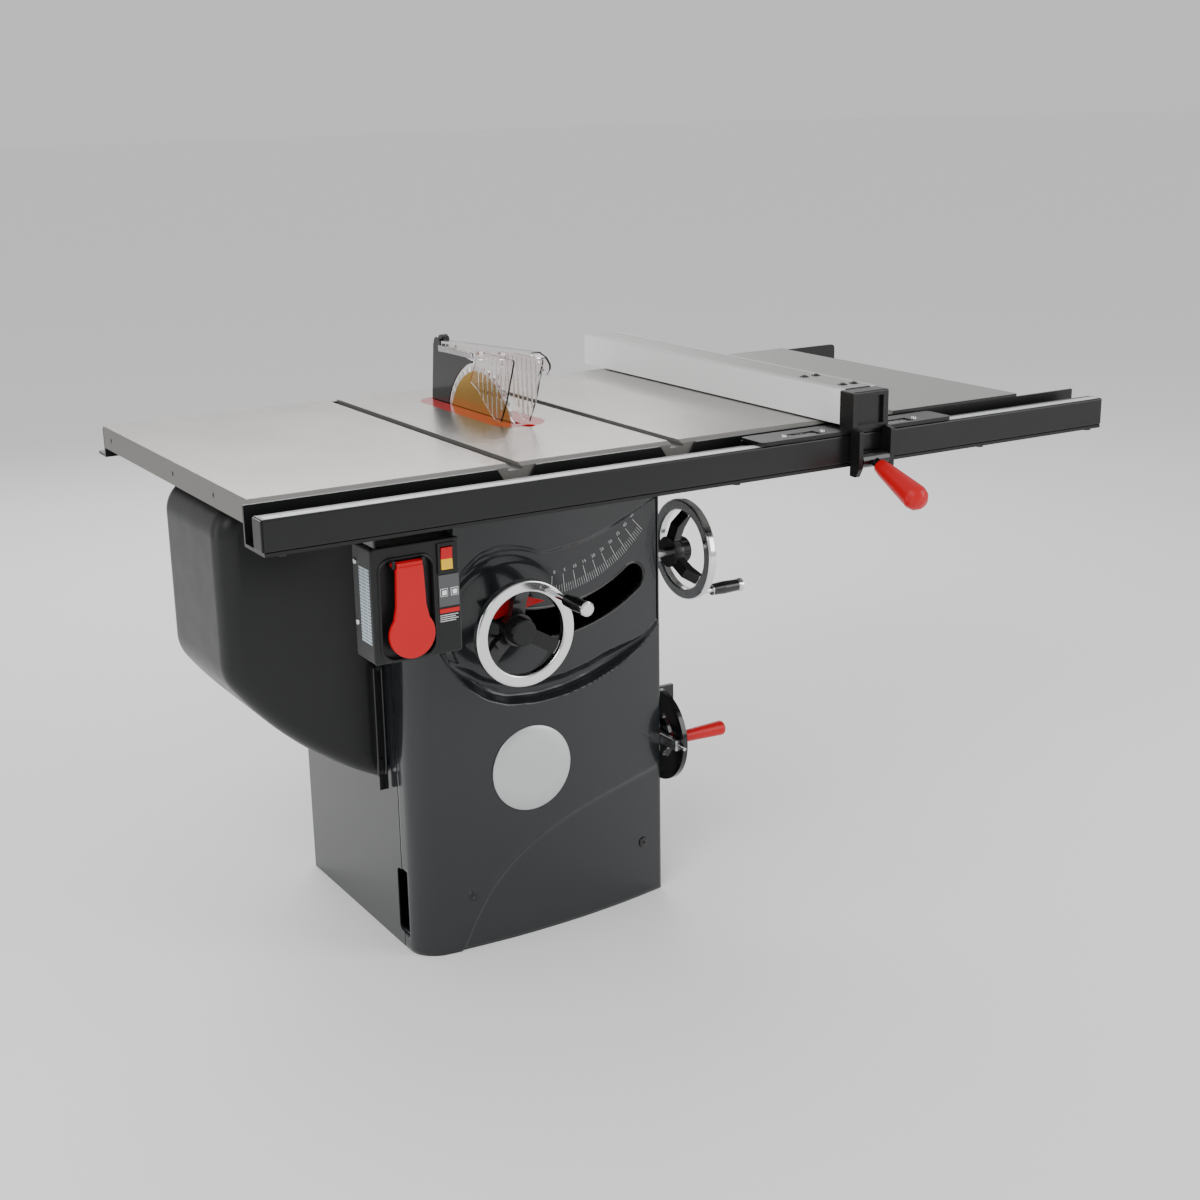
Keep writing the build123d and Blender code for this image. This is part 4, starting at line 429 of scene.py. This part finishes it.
lift_paint = wheel_paint("front_wheel_finish", LIFT, False)
side_paint = wheel_paint("side_wheel_finish", SIDE, True)
lift_crank_paint = crank_paint("front_crank_finish", LIFT, False)
side_crank_paint = crank_paint("side_crank_finish", SIDE, True)
tell(lift_paint, side_paint, lift_crank_paint, side_crank_paint)

# %% [markdown]
# ## Clear plastic
# The guard is clear polycarbonate. Mixing in a transparent shader would make it vanish evenly.
# Transmission bends light at its edges, so that its outline shows. The refraction is set lower
# than the real one, because thin walls in front of a bright floor would otherwise turn dark.

# %% Clear guard finish
clear = Paint("clear_plastic", (0.98, 0.94, 0.94), 0.04, grain=0.03, grain_scale=90,
              mottle=0.01, shine=0.4)
clear.shader.inputs["Transmission Weight"].default_value = 1.0
clear.shader.inputs["IOR"].default_value = 1.2
tell(clear)

# %% [markdown]
# ## Print, tape, label and badge
# The rail carries a steel tape in inches: sixteenths, longer quarters and full inches. Engraved
# lines could be hundreds of tiny meshes. A repeat along X, cut off by how far the line reaches
# across the tape, draws them all. The label's rows are drawn the same way and hold no words, and
# the badge is plain brushed silver.

# %% Tape, print and badge finishes
INCH = 0.0254
tape = Paint("scale_tape", (0.66, 0.67, 0.68), 0.4, grain=0.03, grain_scale=600, mottle=0.02)
rail_low, rail_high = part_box("rail_tube")
depth_in = tape.y - rail_low[1]
for pitch, width, reach, shade in ((INCH / 16, 0.72, 0.0175, 0.05), (INCH / 4, 0.91, 0.0145, 0.04),
                                   (INCH, 0.97, 0.0095, 0.03)):
    tape.tint((tape.x.repeat(pitch) > width) * (depth_in > reach), (shade,) * 3, 0.5)
print_white = Paint("scale_print", (0.62, 0.63, 0.64), 0.5, grain=0.05, grain_scale=500)
panel_grey = Paint("panel_grey", (0.075, 0.08, 0.083), 0.45, grain=0.05, grain_scale=700)
lamp_white = Paint("lamp_white", (0.82, 0.84, 0.84), 0.2, coat=0.4, grain=0.02, grain_scale=300)
label_paper = Paint("label_paper", (0.42, 0.50, 0.55), 0.5, grain=0.04, grain_scale=500,
                    mottle=0.02)
label_rows = label_paper.z.repeat(0.0050) > 0.55
label_paper.tint(label_rows * (label_paper.y.repeat(0.0170) > 0.12), (0.14, 0.17, 0.20), 0.5)
badge_silver = Paint("badge_silver", (0.58, 0.59, 0.60), 0.32, metallic=0.85, grain=0.2,
                     grain_scale=300, stretch=(1.0, 1.0, 9.0))
tell(tape, print_white, panel_grey, lamp_white, label_paper, badge_silver)

# %% [markdown]
# ## Which piece has which finish
# Every working piece gets one finish, from a table that reads like a finishing list in a shop.
# Naming a material on each mesh by hand would work too, but a list shows at once whether a
# piece was missed. The front panel is listed although a pressed one stands in for it below.

# %% Dress the working pieces
finish_of = {
    charcoal: ("cabinet_shell", "front_panel", "base_pan", "top_frame", "switch_bracket"),
    black_plastic: ("motor_cover", "dust_port", "switch_box", "blade_shroud", "brake_cartridge",
                    "elevation_knob", "tilt_knob"),
    black_gloss: ("spreader", "fence_lever", "mitre_head", "cover_latch", "rail_bolts"),
    rail_black: ("rail_angle", "rail_tube", "rear_rail", "fence_head"),
    fence_paint: ("fence_tube",),
    iron: ("main_table", "left_wing", "right_wing"),
    casting: ("front_bracket", "rear_bracket", "trunnion_yoke", "sector_gear", "worm_bracket",
              "arbor_block", "motor_body"),
    steel: ("cover_hinges", "guide_posts", "arbor_bearings", "arbor_shaft", "arbor_nut",
            "motor_pulley", "kickback_pawls", "lift_screw", "elevation_shaft", "tilt_shaft",
            "storage_hooks", "mitre_bar"),
    laminate: ("extension_table",),
    red_gloss: ("throat_insert",),
    red_plastic: ("fence_handle", "stop_paddle", "mitre_handle"),
    white_face: ("fence_faces",),
    rubber: ("drive_belt",),
    blade_gold: ("saw_blade",),
    lift_paint: ("elevation_wheel",),
    side_paint: ("tilt_wheel",),
    lift_crank_paint: ("elevation_crank",),
    side_crank_paint: ("tilt_crank",),
    clear: ("guard_top", "left_shield", "right_shield"),
    rocker: ("power_rocker",),
}


def dress(obj, paint):
    """One material on every slot of an object."""
    if not obj.material_slots:
        obj.data.materials.append(paint.material)
    for slot in obj.material_slots:
        slot.material = paint.material


for paint, names in finish_of.items():
    for name in names:
        dress(nodes[name], paint)
print("dressed:", sum(map(len, finish_of.values())), "of", len(nodes))

# %% [markdown]
# ## Mesh helpers
# Trim on a machine comes in few kinds: bent sheet, flat print, thin plates and turned pieces.
# Each could be made with Blender's own operators, which depend on what is selected. These
# helpers work the points out as whole arrays and hand them to a mesh, so nothing has to be
# selected and a shape is one readable formula.


# %% Sheets and flat quads
def solid_of(name, points, faces):
    """An object from an array of points and lists of the points of each face."""
    mesh = bpy.data.meshes.new(name)
    mesh.from_pydata(points.reshape(-1, 3).tolist(), [], faces)
    mesh.update()
    return link(bpy.data.objects.new(name, mesh))


def grid_mesh(name, points, keep=None):
    """A smooth sheet from an array of rows by columns of points: each face joins a point with
    its next column, the next row's next column and its next row. A mask may leave faces out."""
    rows, columns = points.shape[:2]
    corner = np.arange(rows * columns).reshape(rows, columns)
    faces = np.stack([corner[:-1, :-1], corner[:-1, 1:], corner[1:, 1:], corner[1:, :-1]], axis=-1)
    if keep is not None:
        faces = faces[keep]
    obj = solid_of(name, points, faces.reshape(-1, 4).tolist())
    obj.data.polygons.foreach_set("use_smooth", [True] * len(obj.data.polygons))
    return obj


def quads_mesh(name, corners):
    """Flat separate quads from an array of count by 4 by 3: four points in turn to a face."""
    return solid_of(name, corners, np.arange(len(corners) * 4).reshape(-1, 4).tolist())


# %% [markdown]
# A plate is an outline and its copy, pushed along a direction. Where the outline runs
# counterclockwise as seen from the side it is pushed to, every face points outwards, so an
# outline that runs the other way is reversed where the plate is made. Its small bevel catches a
# line of light, as every real edge does.


# %% Plates, rectangles and turned pieces
def plate(name, outline, direction, thickness, bevel=0.0004):
    """An outline of points and the same points plus direction times thickness, closed by one
    quad for each edge, with bevelled edges."""
    ring = np.array(outline, dtype=float)
    push = np.array(Vector(direction).normalized()) * thickness
    near = np.arange(len(ring))
    after = np.roll(near, -1)
    sides = np.stack([near, after, after + len(ring), near + len(ring)], -1)
    obj = solid_of(name, np.concatenate([ring, ring + push]),
                   [near[::-1].tolist(), (near + len(ring)).tolist(), *sides.tolist()])
    soft = obj.modifiers.new("edge", "BEVEL")
    soft.width = bevel
    soft.segments = 2
    return obj


def rect(across, at, low, high):
    """Four corners of a rectangle across an axis: that measure stays at one value, and the other
    two, in their own order, run from their low to their high values."""
    (a0, b0), (a1, b1) = low, high
    flat = np.array([(a0, b0), (a1, b0), (a1, b1), (a0, b1)])
    return np.insert(flat, "xyz".index(across), at, axis=1)


def lathe(name, centre, axis, profile, segments=48):
    """A turned piece: each radius of the profile, times cosine and sine along two directions
    square to the axis, plus its height along the axis. The profile runs from the middle out."""
    turn = np.linspace(2 * pi, 0, segments + 1)[None, :, None]
    basis = Vector(axis).normalized()
    side = basis.orthogonal().normalized()
    radius, height = np.array(profile).T[:, :, None, None]
    spun = np.cos(turn) * np.array(side) + np.sin(turn) * np.array(basis.cross(side))
    return grid_mesh(name, np.array(centre) + radius * spun + height * np.array(basis))


def add(obj, paint, body):
    """Finish a piece: its material and the moving body that it rides on."""
    dress(obj, paint)
    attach(obj, body)
    print("%s: %d faces, rides on %s" % (obj.name, len(obj.data.polygons), body))
    return obj


# %% [markdown]
# ## The pressed front panel
# The cabinet's front is one sheet with a bowed plan, pressed in between an upper ridge and a
# lower scoop, where the front wheel sits, with a raised crease that sweeps across its foot. It
# could be sculpted by hand. Three drawn lines and a depth formula give the same form, stay
# editable, and tell any other piece how deep the sheet is below it.

# %% The front's bow and its three drawn lines
LEFT_FRONT_Y = -0.224
bow = np.polyfit([PANEL_LEFT, 0.027, PANEL_RIGHT], [LEFT_FRONT_Y, -0.2365, -0.208], 2)


def eased(xs, zs):
    """A line through points, taken every millimetre and averaged with weights that fall off as a
    bell curve 9 mm wide, so that no corner shows."""
    fine = np.arange(-0.300, 0.3005, 0.001)
    line = np.interp(fine, xs, zs)
    weight = np.exp(-(np.arange(-24, 25) / 9.0) ** 2)
    padded = np.concatenate([np.full(24, line[0]), line, np.full(24, line[-1])])
    return fine, np.convolve(padded, weight / weight.sum(), "valid")


ridge_line = eased([-0.200, -0.190, -0.174, -0.146, -0.116, -0.080, -0.049, -0.029, -0.001, 0.032,
                    0.086, 0.139, 0.185, 0.223, 0.254],
                   [0.545, 0.562, 0.619, 0.665, 0.689, 0.696, 0.693, 0.687, 0.676, 0.678,
                    0.684, 0.698, 0.714, 0.728, 0.738])
scoop_line = eased([-0.200, -0.191, -0.172, -0.147, -0.111, -0.071, -0.014, 0.039, 0.093, 0.145,
                    0.197, 0.237, 0.254],
                   [0.545, 0.533, 0.498, 0.468, 0.439, 0.423, 0.417, 0.420, 0.430, 0.446,
                    0.470, 0.497, 0.510])
crease_line = eased([-0.173, -0.150, -0.116, -0.080, -0.037, 0.000, 0.042, 0.090, 0.135, 0.190,
                     0.247],
                    [0.000, 0.050, 0.105, 0.142, 0.171, 0.190, 0.207, 0.220, 0.229, 0.239,
                     0.247])
print("ridge rises to %.3f m, scoop dips to %.3f m" % (ridge_line[1].max(), scoop_line[1].min()))


# %% [markdown]
# The depth is a sum of soft steps. `smooth` is an S-shaped ramp, and each part of the form is one
# such ramp over the distance from a line: the flat field, a deeper channel along the scoop, a
# round dish behind the wheel and the fold at the foot.


# %% How deep the sheet is pressed
def smooth(value):
    """Zero below 0, one above 1, and 3 t squared less 2 t cubed between."""
    t = np.clip(value, 0.0, 1.0)
    return t * t * (3 - 2 * t)


def press(x, z):
    """How far the sheet is pushed in: a 6 mm step inside the ridge and the scoop, a rounded
    channel just above the scoop, a dish about the wheel, and a bell-shaped fold that stands out
    along the crease with a shallow drop below it."""
    top, bottom = np.interp(x, *ridge_line), np.interp(x, *scoop_line)
    inside = np.minimum(top - z, z - bottom)
    field = 0.0060 * smooth(inside / 0.011)
    reach = smooth((0.248 - x) / 0.13) * smooth((x + 0.196) / 0.07)
    across = np.clip((z - bottom) / (0.004 + 0.031 * reach), 0.0, 1.0)
    channel = 0.0125 * reach * (1.0 - (2.0 * across - 1.0) ** 2) ** 0.7
    around = np.hypot(x - LIFT.x, z - LIFT.z)
    dish = 0.0050 * smooth((0.118 - around) / 0.018) * smooth(inside / 0.010)
    fold = z - np.interp(x, *crease_line)
    crease = -0.0024 * np.exp(-(fold / 0.006) ** 2)
    crease = crease + 0.0020 * smooth(-fold / 0.008) * (x > -0.172)
    rim = smooth((PANEL_TOP - z) / 0.01) * smooth(z / 0.003)
    return (field * (inside > 0) + channel + dish) * rim + crease


def front_y(x, z):
    """Where the pressed front lies: the bow plus the depth of the press."""
    return np.polyval(bow, x) + press(x, z)


def inside_slot(x, z):
    """How far a point is inside the curved slot: half its width, less the distance to the nearest
    point of its middle arc, whose angle is the point's own, held between the slot's ends."""
    near_x, near_z = around_tilt(
        SLOT_RADIUS, np.clip(np.arctan2(x - TILT_X, TABLE_Z - z), *SLOT_ENDS))
    return SLOT_HALF - np.hypot(x - near_x, z - near_z)


print("sheet pressed in %.1f mm behind the wheel" % (press(LIFT.x, LIFT.z) * 1000))

# %% [markdown]
# In plan the sheet runs forward along the left side, round a corner and across the bow, and that
# line repeated at many heights makes the grid. The heights are closer together where the form
# is busy. Cutting the holes with a boolean would leave long thin triangles. Here the cells
# inside the slot and the hand hole are simply left out, and Solidify gives the sheet its wall.

# %% The sheet on its grid
SEAM_Y, CORNER, STEP = -0.1650, 0.046, 0.0030
side_run = np.arange(SEAM_Y, LEFT_FRONT_Y + CORNER, -STEP)
arc = np.linspace(0, pi / 2, 22)
corner_x = PANEL_LEFT + CORNER - CORNER * np.cos(arc)
corner_y = np.polyval(bow, PANEL_LEFT + CORNER) + CORNER - CORNER * np.sin(arc)
front_x = np.arange(PANEL_LEFT + CORNER + STEP, PANEL_RIGHT + 0.0001, STEP)
plan_x = np.concatenate([np.full(len(side_run), PANEL_LEFT), corner_x, front_x])
plan_y = np.concatenate([side_run, corner_y, np.polyval(bow, front_x)])
heights = np.concatenate([np.arange(0.0008, 0.40, 0.0060), np.arange(0.40, 0.76, 0.0028),
                          np.linspace(0.76, PANEL_TOP, 9)])
grid_x, grid_z = np.meshgrid(plan_x, heights)
round_corner = smooth((grid_x - PANEL_LEFT - 0.020) / 0.03)
grid_y = plan_y + press(grid_x, grid_z) * round_corner
sheet = np.stack([grid_x, grid_y, grid_z], axis=-1)
mid_x, mid_y, mid_z = np.moveaxis((sheet[:-1, :-1] + sheet[1:, 1:]) / 2, -1, 0)
hole = (inside_slot(mid_x, mid_z) > 0.0) & (mid_x > PANEL_LEFT + 0.01)
hole |= (mid_x < PANEL_LEFT + 0.002) & (mid_z > 0.026) & (mid_z < 0.142) & (mid_y > -0.181)
panel = add(grid_mesh("pressed_front", sheet, ~hole), charcoal, "cabinet")
wall = panel.modifiers.new("sheet", "SOLIDIFY")
wall.thickness = 0.0022
wall.offset = -1.0
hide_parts("front_panel")

# %% [markdown]
# ## The slot's lip
# A pressed slot has its edge rolled in, which stiffens the sheet and hides the cut. A bevel
# would need a clean edge, and the cut cells leave small steps. A lip that follows the slot's
# true outline covers them: the outline is two arcs and two half circles, and a small rounded
# profile is carried along it.

# %% Outline of the slot and its rolled lip
turns = np.radians(np.linspace(-19.3, 31.7, 60))
half_turn = np.linspace(0, pi, 16)[1:-1, None]


def slot_end(angle, direction):
    """The half circle that closes the slot: its centre on the middle arc, plus half the width
    times cosine away from the tilt axis and sine along the slot."""
    away = np.array([np.sin(angle), -np.cos(angle)])
    along = np.array([np.cos(angle), np.sin(angle)]) * direction
    swing = np.cos(half_turn) * away + np.sin(half_turn) * along
    return np.array(around_tilt(SLOT_RADIUS, angle)) + SLOT_HALF * swing


outer = np.stack(around_tilt(SLOT_RADIUS + SLOT_HALF, turns), -1)
inner = np.stack(around_tilt(SLOT_RADIUS - SLOT_HALF, turns[::-1]), -1)
ring = np.concatenate([outer, slot_end(turns[-1], 1), inner, slot_end(turns[0], -1)[::-1]])
tangent = np.roll(ring, -1, 0) - np.roll(ring, 1, 0)
ring, tangent = (np.concatenate([path, path[:1]]) for path in (ring, tangent))
tangent /= np.linalg.norm(tangent, axis=1)[:, None]
outward = np.stack([tangent[:, 1], -tangent[:, 0]], -1)
lip_out, lip_in = np.array([(0.0035, -0.0002), (0.002, -0.0009), (0.0005, -0.0010),
                            (-0.0012, 0.0004), (-0.0020, 0.004), (-0.0022, 0.012)]).T[:, :, None]
lip_x, lip_z = ring[:, 0] + lip_out * outward[:, 0], ring[:, 1] + lip_out * outward[:, 1]
lip_y = front_y(ring[:, 0], ring[:, 1]) + lip_in
add(grid_mesh("slot_lip", np.stack([lip_x, lip_y, lip_z], -1)), black_gloss, "cabinet")

# %% [markdown]
# ## Tilt scale
# A scale beside the slot shows the blade's tilt: a tick for each degree, a longer one for each
# five, and numbers. It could be drawn in the paint, but crisp small print needs real edges. The
# ticks are flat quads laid 0.4 mm off the pressed sheet by the sheet's own formula.

# %% Ticks
degree = np.arange(46)
long_tick = degree % 5 == 0
tick_angle = np.radians(degree)[:, None]
tick_from = np.where(long_tick, 0.2365, 0.2540)
TICK_TO, PRINT_LIFT = 0.2680, 0.0004
radius = np.stack([tick_from, tick_from, *[np.full(46, TICK_TO)] * 2], -1)
offset = np.where(long_tick, 0.00045, 0.00028)[:, None] * np.array([-1, 1, 1, -1])
tick_x, tick_z = around_tilt(radius, tick_angle)
tick_x, tick_z = tick_x + offset * np.cos(tick_angle), tick_z + offset * np.sin(tick_angle)
ticks = np.stack([tick_x, front_y(tick_x, tick_z) - PRINT_LIFT, tick_z], -1)
add(quads_mesh("tilt_ticks", ticks), print_white, "cabinet")

# %% [markdown]
# The numbers are Blender text, made a mesh before it is placed, because a text object would not
# travel with the model. Each is stood up to face forward, turned to its own angle and moved to
# its place, all in the mesh itself.

# %% Numbers
for number in range(0, 46, 5):
    angle = radians(number + 0.9)
    x, z = map(float, around_tilt(0.2330, angle))
    text = bpy.data.curves.new("tilt_number_%d" % number, "FONT")
    text.body = str(number)
    text.size = 0.0080
    text.extrude = 0.0001
    text.align_x = "CENTER"
    text.resolution_u = 3
    drawn = link(bpy.data.objects.new("number_curve", text))
    seen = drawn.evaluated_get(bpy.context.evaluated_depsgraph_get())
    mesh = bpy.data.meshes.new_from_object(seen)
    bpy.data.objects.remove(drawn)
    upright = Matrix.Rotation(-angle, 4, "Y") @ Matrix.Rotation(pi / 2, 4, "X")
    mesh.transform(Matrix.Translation((x, float(front_y(x, z)) - 0.0006, z)) @ upright)
    add(link(bpy.data.objects.new("tilt_number_%d" % number, mesh)), print_white, "cabinet")

# %% [markdown]
# ## Badge and recessed screws
# A round silver disc sits on the lower front, and two dark screws are sunk in it. Round pieces
# are turned on a lathe, here as there: a profile spun about an axis. The axis is square to the
# bow at that place, so that the disc lies flat on a curved sheet.


# %% Disc and screws on the front
def front_axis(x):
    """Straight out from the bowed front in plan: the bow's slope, and one unit forward."""
    return float(np.polyval(np.polyder(bow), x)), -1.0, 0.0


BADGE_X, BADGE_Z = -0.033, 0.304
badge_y = float(front_y(BADGE_X, BADGE_Z)) + 0.0016
add(lathe("front_badge", (BADGE_X, badge_y, BADGE_Z), front_axis(BADGE_X),
          [(0.0001, 0.0034), (0.050, 0.0034), (0.0735, 0.0032), (0.0745, 0.0026), (0.0745, 0.0)],
          96), badge_silver, "cabinet")
for index, (x, z) in enumerate(((-0.150, 0.096), (0.202, 0.103))):
    add(lathe("panel_screw_%d" % index, (x, float(np.polyval(bow, x)), z), front_axis(x),
              [(0.0001, -0.002), (0.0022, -0.002), (0.0024, 0.0006), (0.0052, 0.0012),
               (0.0060, 0.0002), (0.0080, 0.0009), (0.0092, 0.0004), (0.0096, -0.0008)]),
        black_gloss, "cabinet")

# %% [markdown]
# ## Tilt pointer
# A red pointer behind the front wheel rides on the tilting assembly and passes over the scale.
# It is a flat stamping, so it is one plate cut to its outline. It rides on the tilting body, not
# on the cabinet, or it would stay behind when the blade tilts.

# %% Pointer
pointer = np.insert(np.array([(-0.112, 0.600), (-0.052, 0.611), (-0.004, 0.5935),
                              (-0.046, 0.586), (-0.098, 0.577)]), 1, -0.2465, axis=1)
add(plate("tilt_pointer", pointer, (0, 1, 0), 0.002), red_plastic, "trunnion")

# %% [markdown]
# ## Rail: scale tape and end caps
# The fence slides on a square tube. A steel tape lies on its top along the front edge, and a
# plastic plug closes each end. Both are thin plates taken from the tube's own box, and the
# plugs have a larger bevel, because moulded plugs are round at their edges.

# %% Tape and caps
add(plate("scale_tape", rect("z", rail_high[2] - 0.0002, (rail_low[0] + 0.004, rail_low[1] + 0.004),
                             (rail_high[0] - 0.004, rail_low[1] + 0.0225)),
          (0, 0, 1), 0.0005, 0.0001), tape, "cabinet")
CAP_INSET = 0.0012
for index, (x, away) in enumerate(((rail_low[0], -1), (rail_high[0], 1))):
    add(plate("rail_cap_%d" % index,
              rect("x", x - away * 0.001, (rail_low[1] + CAP_INSET, rail_low[2] + CAP_INSET),
                   (rail_high[1] - CAP_INSET, rail_high[2] - CAP_INSET))[::away],
              (away, 0, 0), 0.004, 0.0015), black_plastic, "cabinet")

# %% [markdown]
# ## Fence: lenses, screws and bolts
# Two windows in the fence head hold clear lenses with a red hair line over the tape, each held
# by two small screws, and four bolts in the tube's top set the fence square. The lens has to be
# a real slab, because a clear surface with no thickness doesn't bend light.

# %% Lenses, hair lines, screws and bolts
HEAD_TOP = 0.8605
head_low, head_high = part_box("fence_head")
for index, x in enumerate((head_low[0] + 0.068, head_high[0] - 0.130)):
    add(plate("cursor_lens_%d" % index,
              rect("z", HEAD_TOP - 0.0045, (x + 0.0006, -0.4694), (x + 0.0554, -0.4446)),
              (0, 0, 1), 0.0030, 0.0004), clear, "fence")
    add(plate("cursor_line_%d" % index,
              rect("z", HEAD_TOP - 0.0050, (x + 0.0277, -0.4690), (x + 0.0283, -0.4450)),
              (0, 0, 1), 0.0003, 0.00005), red_plastic, "fence")
    for which, beside in enumerate((-0.010, 0.066)):
        add(lathe("cursor_screw_%d_%d" % (index, which), (x + beside, -0.457, HEAD_TOP), (0, 0, 1),
                  [(0.0001, 0.0028), (0.0030, 0.0028), (0.0042, 0.0022), (0.0045, 0.0)], 24),
            steel, "fence")
BOLT_PROFILE = [(0.0001, 0.0010), (0.0024, 0.0010), (0.0025, 0.0030), (0.0044, 0.0030),
                (0.0050, 0.0024), (0.0050, 0.0), (0.0078, 0.0), (0.0078, 0.0006)]
for index, (x, y) in enumerate(((0.4645, -0.3185), (0.4880, -0.3195), (0.4660, -0.4184),
                                (0.4887, -0.4187))):
    add(lathe("fence_bolt_%d" % index, (x, y, fence_top), (0, 0, 1), BOLT_PROFILE, 24),
        black_gloss, "fence")

# %% [markdown]
# ## Switch box: ring round the paddle
# The stop paddle sits in a raised ring on the box's face. The ring is a rounded rectangle with a
# small hump for a profile. A bevelled frame would do, but carrying a profile along an outline
# gives an even hump round the corners too.

# %% Ring round the paddle
box_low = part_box("switch_box")[0]
BOX_FACE = -0.441
HALF_WIDE, HALF_HIGH, ROUND_OFF = 0.0425, 0.0745, 0.019
middle = np.array([-0.3410, box_low[2] + 0.0795])
quarter = np.linspace(0, pi / 2, 9)
sign = np.array([(1, 1), (-1, 1), (-1, -1), (1, -1)])
swept = quarter + np.arange(4)[:, None] * (pi / 2)
centres = middle + sign * (HALF_WIDE - ROUND_OFF, HALF_HIGH - ROUND_OFF)
outline = centres[:, None] + ROUND_OFF * np.stack([np.cos(swept), np.sin(swept)], -1)
outline = outline.reshape(-1, 2)
outline = np.concatenate([outline, outline[:1]])
outwards = outline - middle
outwards /= np.linalg.norm(outwards, axis=1)[:, None]
hump = np.array([(0.0048, -0.0002), (0.0036, 0.0018), (0.0022, 0.0028), (-0.0002, 0.0028),
                 (-0.0012, 0.0018), (-0.0015, -0.0050)])
ring_xz = outline + hump[:, :1, None] * outwards
ring_y = np.broadcast_to(BOX_FACE - hump[:, 1:], ring_xz.shape[:2])
trim = np.stack([ring_xz[..., 0], ring_y, ring_xz[..., 1]], -1)
add(grid_mesh("paddle_surround", trim), black_plastic, "cabinet")


# %% [markdown]
# ## Switch box: indicator, lamps and label
# Beside the paddle are a grey panel with two square lamps, a red strip and rows of small print,
# and a label with two screws is on the box's left side. They are layers of thin plates, each a
# little prouder than the one under it, as the real ones are stuck or clipped on. The print is
# plain lines.


# %% Indicator, strip, lines and label
def tile(name, lift, low, high, thickness, paint, bevel=0.0004):
    """A thin plate on the box's face: a rectangle in X and Z, lifted off it and pushed forward."""
    shape = plate(name, rect("y", BOX_FACE - lift, low, high), (0, -1, 0), thickness, bevel)
    return add(shape, paint, "cabinet")


LAMP_Z = 0.6985
tile("indicator_panel", 0.0, (-0.2905, 0.6770), (-0.2575, 0.7250), 0.0016, panel_grey)
for index, x in enumerate((-0.2825, -0.2655)):
    for layer, half, lift, thickness, paint, slot in (
            ("lamp_frame", 0.0060, 0.0014, 0.0010, lamp_white, "white_face"),
            ("lamp_bezel", 0.0052, 0.0020, 0.0008, black_gloss, "black_plastic"),
            ("lamp", 0.0036, 0.0024, 0.0010, lamp_white, "white_face")):
        tile("%s_%d" % (layer, index), lift, (x - half, LAMP_Z - half), (x + half, LAMP_Z + half),
             thickness, paint)
tile("indicator_strip", 0.0002, (-0.2900, 0.6670), (-0.2580, 0.6735), 0.0008, red_plastic,
     0.0002)
lines = [rect("y", BOX_FACE - 0.0004, (-0.2895, z), (-0.2600 - 0.004 * (row % 2), z + 0.0012))
         for row, z in enumerate((0.6630, 0.6600, 0.6570, 0.6540))]
add(quads_mesh("indicator_lines", np.array(lines)), print_white, "cabinet")
add(plate("box_label", rect("x", box_low[0] + 0.0001, (-0.4335, 0.6350), (-0.3990, 0.7480))[::-1],
          (-1, 0, 0), 0.0004, 0.0001), label_paper, "cabinet")
for index, z in enumerate((0.7520, 0.6600)):
    add(lathe("box_screw_%d" % index, (box_low[0], -0.3870, z), (-1, 0, 0),
              [(0.0001, 0.0030), (0.0030, 0.0030), (0.0046, 0.0016), (0.0048, 0.0)], 24),
        steel, "cabinet")

# %% [markdown]
# ## Guard: ribs on the side shields
# Thin clear shields are stiffened by upright ribs, and the ribs are what the eye finds first on
# clear plastic. A bump would not show, since light passes through. So they are real plates, and
# each one's foot follows the shield's lower edge, read from a few points. The left outlines are
# not reversed: their faces point inwards, which makes those ribs show a little more strongly.

# %% Ribs
FOOT_Y, FOOT_Z = [-0.132, -0.110, -0.090, -0.065, -0.032], [0.046, 0.010, 0.010, 0.026, 0.052]
RIB_TOP, RIB_WIDE = TABLE_Z + 0.106, 0.003
for body, x, away, shift in (("left_guard", -0.0030, -1, 0.0), ("right_guard", 0.0420, 1, -0.022)):
    for index in range(7):
        along = -0.042 - 0.0155 * index
        y = BLADE.y + along + shift
        foot = TABLE_Z + float(np.interp(along, FOOT_Y, FOOT_Z))
        add(plate("%s_rib_%d" % (body, index),
                  rect("x", x - away * 0.0003, (y, foot), (y + RIB_WIDE, RIB_TOP)),
                  (away, 0, 0), 0.0022, 0.0006), clear, body)

# %% [markdown]
# ## Floor
# The saw stands on a plain pale floor. A small one would end in a hard line behind the saw. One
# that runs far past the camera fades into the white world, and its pale paint is a little
# rough, so that only soft reflections show.

# %% Floor
FAR = 40.0
floor = quads_mesh("floor", rect("z", 0.0, (-FAR, -FAR), (FAR, FAR))[None])
floor_paint = Paint("pale_floor", (0.97, 0.97, 0.97), 0.7, mottle=0.004, mottle_scale=2.0,
                    shine=0.2)
dress(floor, floor_paint)
tell(floor_paint)
